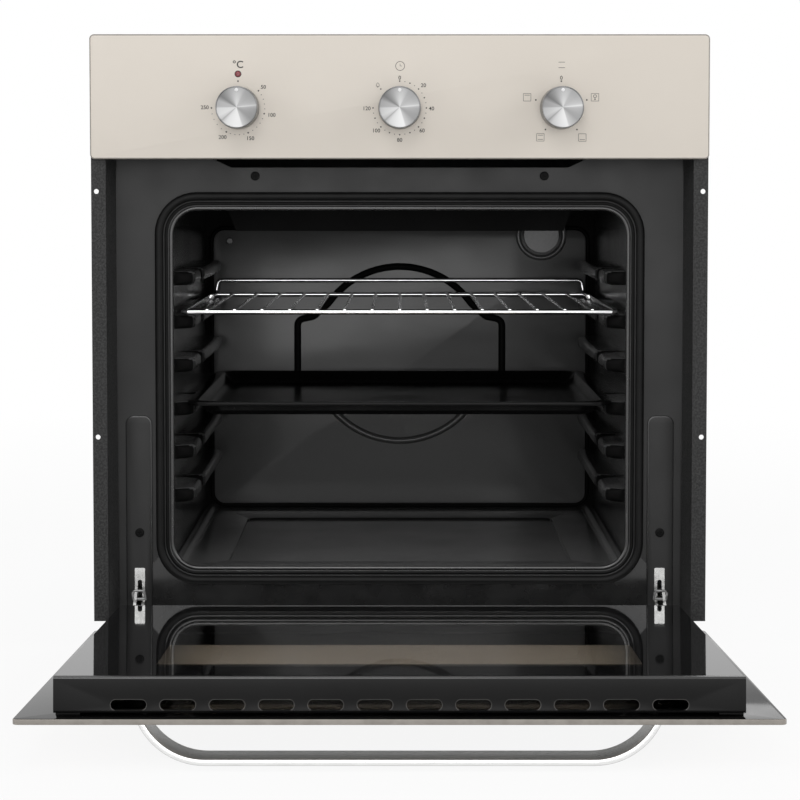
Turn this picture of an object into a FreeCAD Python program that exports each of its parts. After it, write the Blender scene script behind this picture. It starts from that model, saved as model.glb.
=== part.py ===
"""Built-in oven with a drop-down door, a wire shelf, a baking tray and three rotary controls.

Frame: +Z up, +Y towards the back, origin at the centre of the underside of the base plate.
The door pieces are drawn in the closed position and swung open about the hinge axis.
"""
import FreeCAD, Part
import math
import os
import re
from types import SimpleNamespace

from FreeCAD import Placement, Rotation, Vector

# Driving dimensions in millimetres and degrees: name, value, meaning.
DIMENSIONS = [
    ("front_width", 595, "width of the panel and of the outer door glass"),
    ("front_height", 595, "underside of the base to the top of the panel"),
    ("panel_height", 119.5, "height of the control panel"),
    ("panel_thick", 5, "thickness of the control panel"),
    ("panel_round", 4.5, "corner radius of the panel"),
    ("body_width", 556, "width of the casing"),
    ("body_depth", 515, "front frame to the back cover"),
    ("top_step", 5, "top of the panel down to the top cover"),
    ("sheet", 1.2, "thickness of the casing and cavity sheets"),
    ("recess_depth", 41, "panel face to the front frame"),
    ("trim_flange", 14.1, "width of the side trim seen from the front"),
    ("trim_setback", 6.3, "panel face to the trim face"),
    ("trim_thick", 1.5, "wall of the side trim"),
    ("trim_foot", 26.5, "height of the lower end of the side trims"),
    ("cabinet_hole_edge", 5, "outer edge of a trim to its screw holes"),
    ("cabinet_hole_low", 206.5, "height of the lower screw holes"),
    ("cabinet_hole_pitch", 238, "lower to upper screw holes"),
    ("cabinet_hole_radius", 2.4, "radius of the screw holes in the trims"),
    ("mouth_inset", 53, "side of the casing to the cavity mouth"),
    ("mouth_drop", 47, "lower edge of the panel to the cavity mouth"),
    ("opening_bottom", 71.8, "height of the lower edge of the mouth"),
    ("opening_round", 26, "corner radius of the mouth"),
    ("gasket_inset", 6.8, "mouth edge to the gasket"),
    ("gasket_bead", 8.5, "width of the gasket"),
    ("gasket_proud", 6, "height of the gasket in front of the frame"),
    ("notch_width", 330, "width of the vent notch at its lower edge"),
    ("notch_slope", 18, "run of the sloped ends of the notch"),
    ("notch_drop", 7.8, "lower edge of the panel to the lower edge of the notch"),
    ("frame_rise", 0.5, "front frame above the lower edge of the panel"),
    ("frame_screw_x", 141.6, "centre line to the upper frame screws"),
    ("frame_screw_drop", 16, "lower edge of the panel to the upper frame screws"),
    ("hinge_screw_rise", 35, "receiver plates to the lower frame screws"),
    ("screw_radius", 4.4, "head radius of the frame screws"),
    ("screw_proud", 1.6, "head height of the frame screws"),
    ("cavity_depth", 390, "frame to the back wall of the cavity"),
    ("cavity_headroom", 12.5, "mouth edge to the cavity roof"),
    ("rib_first", 74.8, "cavity floor to the top of the lowest shelf rib"),
    ("rib_top_gap", 76.4, "top shelf rib to the cavity roof"),
    ("rib_height", 14, "height of a shelf rib"),
    ("rib_reach", 20, "how far a rib stands in from the wall"),
    ("rib_start", 34, "frame to the front end of the ribs"),
    ("rib_end_gap", 14, "rear end of the ribs to the back wall"),
    ("lining", 20, "thickness of the insulation"),
    ("element_radius", 3.5, "radius of the heating element tubes"),
    ("element_drop", 22, "roof to the top element"),
    ("element_gap", 6, "cavity floor to the bottom element"),
    ("element_side", 60, "cavity wall to the heating elements"),
    ("element_front", 60, "deflector to the front run of the elements"),
    ("element_loop", 84, "depth of the front loop of the elements"),
    ("element_bend", 21, "bend radius of the elements"),
    ("deflector_width", 338, "width of the deflector at its lower edge"),
    ("deflector_slope", 14, "run of the sloped ends of the deflector"),
    ("deflector_drop", 37.5, "roof to the lower edge of the deflector"),
    ("deflector_back", 110, "frame to the deflector"),
    ("lamp_x", 164, "centre line to the oven lamp"),
    ("lamp_drop", 48, "cavity roof to the oven lamp"),
    ("lamp_ring", 28, "outer radius of the lamp cover"),
    ("lamp_radius", 21, "radius of the dome of the lamp cover"),
    ("lamp_dome", 10, "height of the dome of the lamp cover"),
    ("lamp_wall", 3, "wall of the lamp cover and of the lamp holder"),
    ("lamp_fit", 0.5, "radial clearance of the lamp pieces"),
    ("knob_pitch", 155, "distance between the knobs"),
    ("knob_drop", 70.5, "top of the panel to the knob axes"),
    ("knob_radius", 20.5, "radius of a knob"),
    ("knob_length", 22, "length of a knob"),
    ("knob_gap", 0.5, "panel to the back of a knob"),
    ("shaft_radius", 3, "radius of the control shafts"),
    ("shaft_fit", 0.05, "radial clearance of a shaft in its switch"),
    ("shaft_grip", 15.4, "length of a shaft inside its knob"),
    ("shaft_end_gap", 0.5, "end of a shaft to the bottom of its switch bore"),
    ("knob_fit", 0.02, "radial clearance of a knob on its shaft"),
    ("switch_size", 38, "width and height of a switch"),
    ("switch_depth", 30, "depth of a switch"),
    ("lens_radius", 3, "radius of the indicator lens"),
    ("lens_rise", 32.5, "knob axis to the lens"),
    ("lens_length", 16.2, "length of the indicator lens"),
    ("lens_proud", 0.8, "height of the lens in front of the panel"),
    ("bracket_step", 3, "lower edge of the panel to the panel bracket"),
    ("inlet_x", 180, "centre line to the mains inlet"),
    ("inlet_drop", 70, "top cover to the mains inlet"),
    ("inlet_width", 40, "width of the mains inlet"),
    ("inlet_height", 20, "height of the mains inlet"),
    ("terminal_margin", 10, "terminal block beyond the edge of the inlet"),
    ("terminal_depth", 24, "depth of the terminal block"),
    ("door_gap", 4.5, "panel to the top edge of the door"),
    ("outer_glass", 4.5, "thickness of the outer glass"),
    ("inner_glass", 4, "thickness of the inner glass"),
    ("door_core", 30, "outer glass to the inner face of the inner glass"),
    ("inner_inset", 11, "side of the casing to the side of the inner door"),
    ("inner_rise", 40, "hinge axis to the lower edge of the inner door"),
    ("strip_drop", 8, "top edge of the outer glass to the top strip"),
    ("strip_gap", 3, "outer glass to the top strip"),
    ("strip_skirt", 12, "height of the top strip"),
    ("strip_wall", 1.5, "wall of the door profiles"),
    ("slot_pitch", 38, "distance between the slots of the top strip"),
    ("slot_length", 27, "length of a slot"),
    ("slot_width", 7.7, "width of a slot"),
    ("slot_inset", 19, "inner door face to the middle of the slots"),
    ("side_screw_inset", 9, "inner glass to the screws at the sides of the door"),
    ("side_screw_drop", 8, "top strip to the screws at the sides of the door"),
    ("door_screw_radius", 3.5, "head radius of the door screws"),
    ("door_screw_proud", 2, "head height of the door screws"),
    ("channel_width", 19, "width of the side channels of the door"),
    ("rail_height", 14, "height of the bottom rail of the door"),
    ("door_open", 86.9, "opening angle of the door as drawn"),
    ("hinge_back", 9, "panel face to the hinge axis"),
    ("hinge_z", 21.5, "height of the hinge axis"),
    ("hinge_inset", 21.4, "side of the casing to the hinges"),
    ("hinge_lug", 4, "thickness of a hinge arm"),
    ("hinge_fit", 0.2, "side clearance of a hinge arm"),
    ("cheek", 2.8, "thickness of a hinge receiver cheek"),
    ("eye_radius", 4.2, "outer radius of the hinge eyes"),
    ("pin_radius", 2, "radius of the hinge pins"),
    ("pin_fit", 0.05, "radial clearance of a hinge pin in the arm"),
    ("arm_length", 150, "hinge axis to the upper end of a hinge arm"),
    ("arm_width", 18, "width of a hinge arm"),
    ("receiver_low", 35.7, "height of the lower end of a receiver plate"),
    ("receiver_high", 73, "height of the upper end of a receiver plate"),
    ("receiver_length", 90, "length of a receiver behind the frame"),
    ("receiver_plate", 2.5, "thickness of a receiver plate in front of the frame"),
    ("receiver_step", 5, "upper end of a receiver plate to its webs"),
    ("latch_back", 34, "panel face to the latch axis"),
    ("latch_z", 43, "height of the latch axis"),
    ("latch_arm", 14, "length of a latch bail"),
    ("latch_wire", 1.6, "thickness of a latch bail"),
    ("latch_lean", 45, "lean of a latch bail from upright at rest"),
    ("handle_width", 404, "overall width of the handle"),
    ("handle_reach", 32.7, "outer glass to the front of the handle"),
    ("handle_strip", 5, "thickness of the handle strip"),
    ("handle_height", 35, "height of the handle strip"),
    ("handle_bend", 52, "run of the bent ends of the handle"),
    ("handle_drop", 6, "top edge of the outer glass to the handle"),
    ("handle_screw_inset", 4, "end of the handle to its screws"),
    ("shelf_gap", 6, "cavity wall to the side of the wire shelf"),
    ("shelf_depth", 349, "depth of the wire shelf"),
    ("shelf_back", 30, "frame to the front bar of the shelf"),
    ("shelf_frame", 3, "wire radius of the shelf frame"),
    ("shelf_wire", 2, "wire radius of the shelf bars"),
    ("shelf_rail", 16.5, "height of the rear rail of the shelf"),
    ("shelf_post_inset", 3, "side wire of the shelf to the posts of its rail"),
    ("shelf_bar_inset", 27, "end of the shelf to its outer bars"),
    ("rest_gap", 0.3, "shelf or tray to the rib it rests on"),
    ("tray_gap", 13, "cavity wall to the rim of the baking tray"),
    ("tray_depth", 372, "depth of the baking tray over its rim"),
    ("tray_back", 10, "frame to the front rim of the tray"),
    ("tray_fall", 12, "depth of the baking tray"),
    ("tray_rim", 10, "width of the rim of the tray"),
    ("tray_wall", 1.5, "wall of the baking tray"),
    ("tray_round", 20, "corner radius of the tray pan"),
]
KNOBS = ("temperature", "timer", "function")
SHELF_BARS = 15
RIB_COUNT = 6
TRAY_RIB_COUNT = 2
SHELF_RIB_COUNT = 4
SLOT_COUNT = 12
SIDES = (("left", -1), ("right", 1))

doc = FreeCAD.newDocument("built_in_oven")
sheet = doc.addObject("Spreadsheet::Sheet", "Sizes")
for row, (name, value, meaning) in enumerate(DIMENSIONS, start=1):
    sheet.set(f"A{row}", name)
    sheet.set(f"B{row}", str(value))
    sheet.set(f"C{row}", meaning)
    sheet.setAlias(f"B{row}", name)
doc.recompute()
S = SimpleNamespace(**{name: sheet.get(name) for name, value, meaning in DIMENSIONS})
ALIASES = {name for name, value, meaning in DIMENSIONS}
PIECES = {}

# Places worked out from the driving dimensions, as expressions.
FRAME = "(-body_depth/2)"
FACE = "(-body_depth/2 - recess_depth)"
REAR = "(body_depth/2)"
BODY_HIGH = "(front_height - top_step)"
PANEL_LOW = "(front_height - panel_height)"
KNOB_Z = "(front_height - knob_drop)"
NOTCH_LOW = "(front_height - panel_height - notch_drop)"
MOUTH_HIGH = "(front_height - panel_height - mouth_drop)"
CAVITY_X = "(body_width/2 - mouth_inset)"
CAVITY_LOW = "(opening_bottom)"
CAVITY_HIGH = "(front_height - panel_height - mouth_drop + cavity_headroom)"
CAVITY_REAR = "(-body_depth/2 + cavity_depth)"
DIVIDER = "(front_height - panel_height - notch_drop - sheet)"
RIB_FIRST = "(opening_bottom + rib_first)"
RIB_PITCH = f"(({CAVITY_HIGH} - rib_top_gap - {RIB_FIRST})/{RIB_COUNT - 1})"
SHELF_Z = f"({RIB_FIRST} + {SHELF_RIB_COUNT}*{RIB_PITCH} + rest_gap + shelf_frame)"
TRAY_Z = f"({RIB_FIRST} + {TRAY_RIB_COUNT}*{RIB_PITCH} + rest_gap)"
LAMP_Z = f"({CAVITY_HIGH} - lamp_drop)"
ELEMENT_LEG = f"(({CAVITY_X} - element_side)/4)"
SHELF_X = f"({CAVITY_X} - shelf_gap)"
TRAY_X = f"({CAVITY_X} - tray_gap)"
INNER_X = "(body_width/2 - inner_inset)"
HINGE_X = "(body_width/2 - hinge_inset)"
GLASS_HIGH = "(front_height - panel_height - door_gap)"
GLASS_BACK = "(-body_depth/2 - recess_depth + outer_glass)"
DOOR_BACK = "(-body_depth/2 - recess_depth + outer_glass + door_core)"
INNER_LOW = "(hinge_z + inner_rise)"
STRIP_HIGH = "(front_height - panel_height - door_gap - strip_drop)"
HINGE_Y = "(-body_depth/2 - recess_depth + hinge_back)"

# The same places as numbers, for the outlines drawn in code.
frame_y = -S.body_depth / 2
face_y = frame_y - S.recess_depth
hinge_x = S.body_width / 2 - S.hinge_inset
hinge_y = face_y + S.hinge_back
cavity_x = S.body_width / 2 - S.mouth_inset
cavity_high = S.front_height - S.panel_height - S.mouth_drop + S.cavity_headroom
cavity_rear = frame_y + S.cavity_depth


def expression(text):
    """The text with each size name pointed at its cell."""
    return re.sub(r"[a-z_]+", lambda m: "Sizes." + m[0] if m[0] in ALIASES else m[0], text)


def bind(obj, prop, text):
    obj.setExpression(prop, expression(text))


def box(name, x, y, z):
    """A block between low and high expressions along each axis."""
    obj = doc.addObject("Part::Box", name)
    for prop, axis, (low, high) in zip(("Length", "Width", "Height"), "xyz", (x, y, z)):
        bind(obj, prop, f"({high}) - ({low})")
        bind(obj, f"Placement.Base.{axis}", low)
    return obj


TURNS = {"x": Rotation(Vector(0, 1, 0), 90), "y": Rotation(Vector(1, 0, 0), -90), "z": Rotation()}


def rod(name, axis, start, length, radius):
    """A cylinder from a start point along +X, +Y or +Z."""
    obj = doc.addObject("Part::Cylinder", name)
    obj.Placement = Placement(Vector(), TURNS[axis])
    bind(obj, "Radius", radius)
    bind(obj, "Height", length)
    for letter, text in zip("xyz", start):
        bind(obj, f"Placement.Base.{letter}", text)
    return obj


def fuse(name, shapes):
    obj = doc.addObject("Part::MultiFuse", name)
    obj.Shapes = shapes
    obj.Refine = True
    return obj


def cut(name, base, tools):
    obj = doc.addObject("Part::Cut", name)
    obj.Base = base
    obj.Tool = tools[0] if len(tools) == 1 else fuse(name + "_cutters", tools)
    obj.Refine = True
    return obj


def group(name, shapes):
    """Separate solids that share a node."""
    obj = doc.addObject("Part::Compound", name)
    obj.Links = shapes
    return obj


def rounded(name, block, axis, radius):
    """A block whose edges along one axis are rounded."""
    doc.recompute()
    direction = {"x": Vector(1, 0, 0), "y": Vector(0, 1, 0), "z": Vector(0, 0, 1)}[axis]
    edges = []
    for number, edge in enumerate(block.Shape.Edges, start=1):
        run = edge.Vertexes[-1].Point - edge.Vertexes[0].Point
        if run.Length > 0 and abs(run.normalize().dot(direction)) > 0.99:
            edges.append((number, radius, radius))
    obj = doc.addObject("Part::Fillet", name)
    obj.Base = block
    obj.Edges = edges
    return obj


PLANES = {"XY": "XY_Plane", "XZ": "XZ_Plane", "YZ": "YZ_Plane"}


def pad(name, plane, outlines, length, base=("0", "0", "0")):
    """A body padded from closed outlines of lines and arcs, moved by base."""
    body = doc.addObject("PartDesign::Body", name)
    sketch = body.newObject("Sketcher::SketchObject", name + "_sketch")
    support = next(f for f in body.Origin.OriginFeatures if f.Role == PLANES[plane])
    sketch.AttachmentSupport = [(support, "")]
    sketch.MapMode = "FlatFace"
    for outline in outlines:
        sketch.addGeometry(outline, False)
    feature = body.newObject("PartDesign::Pad", name + "_pad")
    feature.Profile = sketch
    bind(feature, "Length", length)
    feature.Reversed = plane == "XZ"
    for letter, text in zip("xyz", base):
        bind(body, f"Placement.Base.{letter}", text)
    return body


def polygon(points):
    corners = [Vector(a, b, 0) for a, b in points]
    return [Part.LineSegment(p, q) for p, q in zip(corners, corners[1:] + corners[:1])]


def circle(x, y, radius):
    return [Part.Circle(Vector(x, y, 0), Vector(0, 0, 1), radius)]


def piece(name, obj):
    """Registers a finished sub-part under the name of its node."""
    obj.Label = name
    PIECES[name] = obj
    return obj


def door_piece(name, obj):
    """Registers a sub-part of the door and swings it open about the hinge axis."""
    obj.Placement = Placement(Vector(), Rotation(Vector(1, 0, 0), S.door_open))
    bind(obj, "Placement.Rotation.Angle", "door_open")
    bind(obj, "Placement.Base.y", f"{HINGE_Y} - ({HINGE_Y}*cos(door_open) - hinge_z*sin(door_open))")
    bind(obj, "Placement.Base.z", f"hinge_z - ({HINGE_Y}*sin(door_open) + hinge_z*cos(door_open))")
    return piece(name, obj)


def tube(name, points, radius, bend):
    """A round tube along straight runs joined by arcs."""
    edges = []
    start = Vector(*points[0])
    for before, corner, after in zip(points, points[1:], points[2:]):
        corner = Vector(*corner)
        back = (Vector(*before) - corner).normalize()
        ahead = (Vector(*after) - corner).normalize()
        half = back.getAngle(ahead) / 2
        reach = bend / math.tan(half)
        middle = corner + (back + ahead).normalize() * (bend / math.sin(half) - bend)
        first, last = corner + back * reach, corner + ahead * reach
        edges += [Part.LineSegment(start, first).toShape(), Part.Arc(first, middle, last).toShape()]
        start = last
    edges.append(Part.LineSegment(start, Vector(*points[-1])).toShape())
    spine = doc.addObject("Part::Feature", name + "_spine")
    spine.Shape = Part.Wire(edges)
    section = doc.addObject("Part::Circle", name + "_section")
    run = Vector(*points[1]) - Vector(*points[0])
    section.Placement = Placement(Vector(*points[0]), Rotation(Vector(0, 0, 1), run))
    bind(section, "Radius", radius)
    sweep = doc.addObject("Part::Sweep", name)
    sweep.Sections = [section]
    sweep.Spine = (spine, [f"Edge{n}" for n in range(1, len(edges) + 1)])
    sweep.Solid = True
    return sweep


def both(half):
    """Low and high expressions of a span centred on the middle plane."""
    return f"-({half})", f"{half}"


def sided(sign, low, high):
    """The span from low to high, mirrored for the left side."""
    return (low, high) if sign > 0 else (f"-({high})", f"-({low})")


def make_casing():
    piece("base_plate", box("base", both("body_width/2"), (FRAME, REAR), ("0", "sheet")))
    for side, sign in SIDES:
        wall = box(f"wall_{side}", sided(sign, "body_width/2 - sheet", "body_width/2"),
                   (FRAME, REAR), ("sheet", f"{BODY_HIGH} - sheet"))
        piece(f"side_panel_{side}", wall)
    piece("top_cover", box("lid", both("body_width/2"), (f"{FACE} + panel_thick + sheet", REAR),
                           (f"{BODY_HIGH} - sheet", BODY_HIGH)))
    sheet_back = box("rear", both("body_width/2 - sheet"), (f"{REAR} - sheet", REAR),
                     ("sheet", f"{BODY_HIGH} - sheet"))
    inlet_z = f"({BODY_HIGH} - inlet_drop)"
    inlet = box("inlet", ("-inlet_x - inlet_width/2", "-inlet_x + inlet_width/2"),
                (f"{REAR} - 2*sheet", f"{REAR} + sheet"),
                (f"{inlet_z} - inlet_height/2", f"{inlet_z} + inlet_height/2"))
    piece("back_cover", cut("rear_cut", sheet_back, [inlet]))
    piece("terminal_block", box("terminals", ("-inlet_x - inlet_width/2 - terminal_margin",
                                              "-inlet_x + inlet_width/2 + terminal_margin"),
                                (f"{REAR} - sheet - terminal_depth", f"{REAR} - sheet"),
                                (f"{inlet_z} - inlet_height/2 - terminal_margin",
                                 f"{inlet_z} + inlet_height/2 + terminal_margin")))
    piece("divider_plate", box("divider", both("body_width/2 - sheet"),
                               (f"{FRAME} + sheet", f"{REAR} - sheet"), (f"{DIVIDER} - sheet", DIVIDER)))


def make_front_frame():
    through = (f"{FRAME} - sheet", f"{FRAME} + 2*sheet")
    face = box("frame_sheet", both("body_width/2 - sheet"), (FRAME, f"{FRAME} + sheet"),
               ("sheet", f"{PANEL_LOW} + frame_rise"))
    mouth_block = box("mouth_block", both(CAVITY_X), through, (CAVITY_LOW, MOUTH_HIGH))
    mouth = rounded("mouth", mouth_block, "y", S.opening_round)
    half = S.notch_width / 2
    rise = S.notch_drop + S.frame_rise + S.sheet
    outline = polygon([(-half, 0), (half, 0), (half + S.notch_slope, rise), (-half - S.notch_slope, rise)])
    notch = pad("notch", "XZ", [outline], "3*sheet", ("0", f"{FRAME} - sheet", NOTCH_LOW))
    slot_half = "hinge_lug/2 + hinge_fit + cheek"
    slots = []
    for side, sign in SIDES:
        span = sided(sign, f"{HINGE_X} - ({slot_half})", f"{HINGE_X} + {slot_half}")
        slots.append(box(f"receiver_slot_{side}", span, through,
                         ("receiver_low", "receiver_high - receiver_step")))
    piece("front_frame", cut("frame_cut", face, [mouth, notch] + slots))
    heads = []
    for side, sign in SIDES:
        for name, x, z in (("frame", "frame_screw_x", f"{PANEL_LOW} - frame_screw_drop"),
                           ("hinge", HINGE_X, "receiver_high + hinge_screw_rise")):
            heads.append(rod(f"{name}_screw_{side}", "y", (f"{sign}*{x}", f"{FRAME} - screw_proud", z),
                             "screw_proud", "screw_radius"))
    piece("frame_screws", group("frame_screw_set", heads))


def make_gasket():
    def ring_block(name, margin, proud):
        return box(name, both(f"{CAVITY_X} + {margin}"),
                   (f"{FRAME} - ({proud})", f"{FRAME} + ({proud}) - gasket_proud"),
                   (f"{CAVITY_LOW} - ({margin})", f"{MOUTH_HIGH} + {margin}"))
    outside = ring_block("gasket_out", "gasket_inset + gasket_bead", "gasket_proud")
    inside = ring_block("gasket_in", "gasket_inset", "gasket_proud + sheet")
    inner_round = S.opening_round + S.gasket_inset
    outer = rounded("gasket_outer", outside, "y", inner_round + S.gasket_bead)
    inner = rounded("gasket_inner", inside, "y", inner_round)
    piece("door_gasket", cut("gasket_ring", outer, [inner]))


def make_trims():
    outer = S.front_width / 2
    inner = outer - S.trim_flange
    body = S.body_width / 2
    front = face_y + S.trim_setback
    for side, sign in SIDES:
        section = [(outer, front), (outer, front + S.trim_thick),
                   (inner + S.trim_thick, front + S.trim_thick), (body + S.trim_thick, frame_y),
                   (body + S.trim_thick, frame_y + S.trim_flange), (body, frame_y + S.trim_flange),
                   (body, frame_y), (inner, front)]
        profile = pad(f"trim_profile_{side}", "XY", [polygon([(sign * x, y) for x, y in section])],
                      f"{BODY_HIGH} - trim_foot", ("0", "0", "trim_foot"))
        holes = []
        for level in (0, 1):
            holes.append(rod(f"trim_hole_{side}_{level}", "y",
                             (f"{sign}*(front_width/2 - cabinet_hole_edge)",
                              f"{FACE} + trim_setback - trim_thick",
                              f"cabinet_hole_low + {level}*cabinet_hole_pitch"),
                             "4*trim_thick", "cabinet_hole_radius"))
        piece(f"side_trim_{side}", cut(f"trim_cut_{side}", profile, holes))


def element_holes(name, length):
    """Holes for the two legs of the top element through a wall at the back of the cavity."""
    start = f"{CAVITY_REAR} - sheet"
    return [rod(f"{name}_leg_{side}", "y", (f"{sign}*{ELEMENT_LEG}", start, f"{CAVITY_HIGH} - element_drop"),
                length, "element_radius + rest_gap") for side, sign in SIDES]


def make_cavity():
    depth = (f"{FRAME} + sheet", CAVITY_REAR)
    rib_front = f"{FRAME} + rib_start"
    rib_rear = f"{CAVITY_REAR} - rib_end_gap"
    for side, sign in SIDES:
        wall = box(f"cavity_sheet_{side}", sided(sign, CAVITY_X, f"{CAVITY_X} + sheet"), depth,
                   (CAVITY_LOW, CAVITY_HIGH))
        ribs = []
        hollows = []
        for number in range(RIB_COUNT):
            top = f"{RIB_FIRST} + {number}*{RIB_PITCH}"
            ribs.append(box(f"rib_{side}_{number}", sided(sign, f"{CAVITY_X} - rib_reach", CAVITY_X),
                            (rib_front, rib_rear), (f"{top} - rib_height", top)))
            hollows.append(box(f"rib_back_{side}_{number}",
                               sided(sign, f"{CAVITY_X} - rib_reach + sheet", f"{CAVITY_X} + 2*sheet"),
                               (f"{rib_front} + sheet", f"{rib_rear} - sheet"),
                               (f"{top} - rib_height + sheet", f"{top} - sheet")))
        ribbed = fuse(f"cavity_ribbed_{side}", [wall] + ribs)
        piece(f"cavity_wall_{side}", cut(f"cavity_side_{side}", ribbed, hollows))
    width = both(f"{CAVITY_X} + sheet")
    piece("cavity_roof", box("roof", width, depth, (CAVITY_HIGH, f"{CAVITY_HIGH} + sheet")))
    piece("cavity_floor", box("floor", width, depth, (f"{CAVITY_LOW} - sheet", CAVITY_LOW)))
    back = box("back_sheet", width, (CAVITY_REAR, f"{CAVITY_REAR} + sheet"),
               (f"{CAVITY_LOW} - sheet", f"{CAVITY_HIGH} + sheet"))
    lamp_hole = rod("lamp_hole", "y", ("lamp_x", f"{CAVITY_REAR} - sheet", LAMP_Z), "3*sheet", "lamp_radius")
    piece("cavity_back", cut("back_cut", back, [lamp_hole] + element_holes("back", "3*sheet")))
    baffle = S.deflector_width / 2
    outline = polygon([(-baffle, 0), (baffle, 0), (baffle + S.deflector_slope, S.deflector_drop),
                       (-baffle - S.deflector_slope, S.deflector_drop)])
    piece("roof_deflector", pad("deflector", "XZ", [outline], "sheet",
                                ("0", f"{FRAME} + deflector_back", f"{CAVITY_HIGH} - deflector_drop")))


def make_insulation():
    span = (f"{FRAME} + sheet", CAVITY_REAR)
    lower = f"{CAVITY_LOW} - sheet - element_gap - 2*element_radius - rest_gap"
    outside = box("wrap_outside", both(f"{CAVITY_X} + sheet + lining"), span,
                  (f"{lower} - lining", f"{CAVITY_HIGH} + sheet + lining"))
    inside = box("wrap_inside", both(f"{CAVITY_X} + sheet"), (f"{FRAME} - sheet", f"{CAVITY_REAR} + sheet"),
                 (lower, f"{CAVITY_HIGH} + sheet"))
    piece("insulation_wrap", cut("wrap", outside, [inside]))
    pad_block = box("rear_pad", both(CAVITY_X), (f"{CAVITY_REAR} + sheet", f"{CAVITY_REAR} + sheet + lining"),
                    (CAVITY_LOW, CAVITY_HIGH))
    hole = rod("pad_hole", "y", ("lamp_x", CAVITY_REAR, LAMP_Z), "3*lining", "lamp_radius")
    piece("insulation_back", cut("rear_pad_cut", pad_block, [hole] + element_holes("pad", "3*lining")))


def make_elements():
    half = cavity_x - S.element_side
    leg = half / 4
    front = frame_y + S.deflector_back + S.element_front
    loop = front + S.element_loop
    rear = cavity_rear + S.lining
    top = cavity_high - S.element_drop
    low = S.opening_bottom - S.sheet - S.element_gap - S.element_radius
    for name, z in (("top_element", top), ("bottom_element", low)):
        path = [(-leg, rear, z), (-leg, loop, z), (-half, loop, z), (-half, front, z),
                (half, front, z), (half, loop, z), (leg, loop, z), (leg, rear, z)]
        piece(name, tube(name + "_tube", path, "element_radius", S.element_bend))


def make_lamp():
    def disc(name, start, length, radius):
        return rod(name, "y", ("lamp_x", start, LAMP_Z), length, radius)
    ring = disc("lamp_flange", f"{CAVITY_REAR} - lamp_wall", "lamp_wall", "lamp_ring")
    dome = disc("lamp_bowl", f"{CAVITY_REAR} - lamp_dome", "lamp_dome", "lamp_radius - 2*lamp_fit")
    hollow = disc("lamp_hollow", f"{CAVITY_REAR} - lamp_dome + lamp_wall", "lamp_dome",
                  "lamp_radius - 2*lamp_fit - lamp_wall")
    piece("lamp_cover", cut("lamp_cup", fuse("lamp_glass", [ring, dome]), [hollow]))
    inside = f"{CAVITY_REAR} - lamp_fit"
    cup = disc("holder_cup", CAVITY_REAR, "3*lamp_radius", "lamp_radius - lamp_fit")
    well = disc("holder_well", inside, "2*lamp_radius", "lamp_radius - lamp_fit - lamp_wall")
    piece("lamp_holder", cut("holder", cup, [well]))
    cap = disc("bulb_cap", f"{inside} + lamp_radius", "lamp_radius", "lamp_radius/3")
    globe = disc("bulb_globe", CAVITY_REAR, "1.2*lamp_radius", "lamp_radius/2")
    piece("lamp_bulb", fuse("bulb", [cap, globe]))


def make_controls():
    block = box("panel_block", both("front_width/2"), (FACE, f"{FACE} + panel_thick"),
                (PANEL_LOW, "front_height"))
    plate = rounded("panel_plate", block, "y", S.panel_round)
    rise = (f"{PANEL_LOW} + bracket_step", f"{BODY_HIGH} - sheet")
    bracket = box("bracket_front", both("body_width/2 - sheet"),
                  (f"{FACE} + panel_thick", f"{FACE} + panel_thick + sheet"), rise)
    wings = [box(f"bracket_wing_{side}", sided(sign, "body_width/2 - 2*sheet", "body_width/2 - sheet"),
                 (f"{FACE} + panel_thick", f"{FRAME} + recess_depth"), rise) for side, sign in SIDES]
    holes = []
    units = {"temperature": "thermostat", "timer": "timer_unit", "function": "function_switch"}
    switch_front = f"{FACE} + panel_thick + sheet"
    shaft_front = f"{FACE} - knob_gap - shaft_grip"
    hole_front = f"{FACE} - sheet"
    for number, name in enumerate(KNOBS):
        x = f"{number - 1}*knob_pitch"
        holes.append(rod(name + "_panel_hole", "y", (x, hole_front, KNOB_Z), "panel_thick + 3*sheet",
                         "shaft_radius + knob_gap"))
        case = box(name + "_case", (f"{x} - switch_size/2", f"{x} + switch_size/2"),
                   (switch_front, f"{switch_front} + switch_depth"),
                   (f"{KNOB_Z} - switch_size/2", f"{KNOB_Z} + switch_size/2"))
        socket = rod(name + "_socket", "y", (x, f"{switch_front} - sheet", KNOB_Z), "switch_depth/2 + sheet",
                     "shaft_radius + shaft_fit")
        piece(units[name], cut(name + "_switch", case, [socket]))
        run = "knob_gap + shaft_grip + panel_thick + sheet + switch_depth/2 - shaft_end_gap"
        piece(name + "_shaft", rod(name + "_spindle", "y", (x, shaft_front, KNOB_Z), run, "shaft_radius"))
        grip = rod(name + "_grip", "y", (x, f"{FACE} - knob_gap - knob_length", KNOB_Z),
                   "knob_length", "knob_radius")
        bore = rod(name + "_bore", "y", (x, shaft_front, KNOB_Z), "knob_length", "shaft_radius + knob_fit")
        piece(name + "_knob", cut(name + "_turned", grip, [bore]))
    lens_z = f"{KNOB_Z} + lens_rise"
    holes.append(rod("lens_hole", "y", ("-knob_pitch", hole_front, lens_z), "panel_thick + 3*sheet",
                     "lens_radius + shaft_fit"))
    piece("control_panel", cut("panel_cut", plate, holes))
    piece("panel_bracket", cut("bracket_cut", fuse("bracket", [bracket] + wings), holes))
    piece("indicator_lens", rod("lens", "y", ("-knob_pitch", f"{FACE} - lens_proud", lens_z), "lens_length",
                                "lens_radius"))


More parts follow.
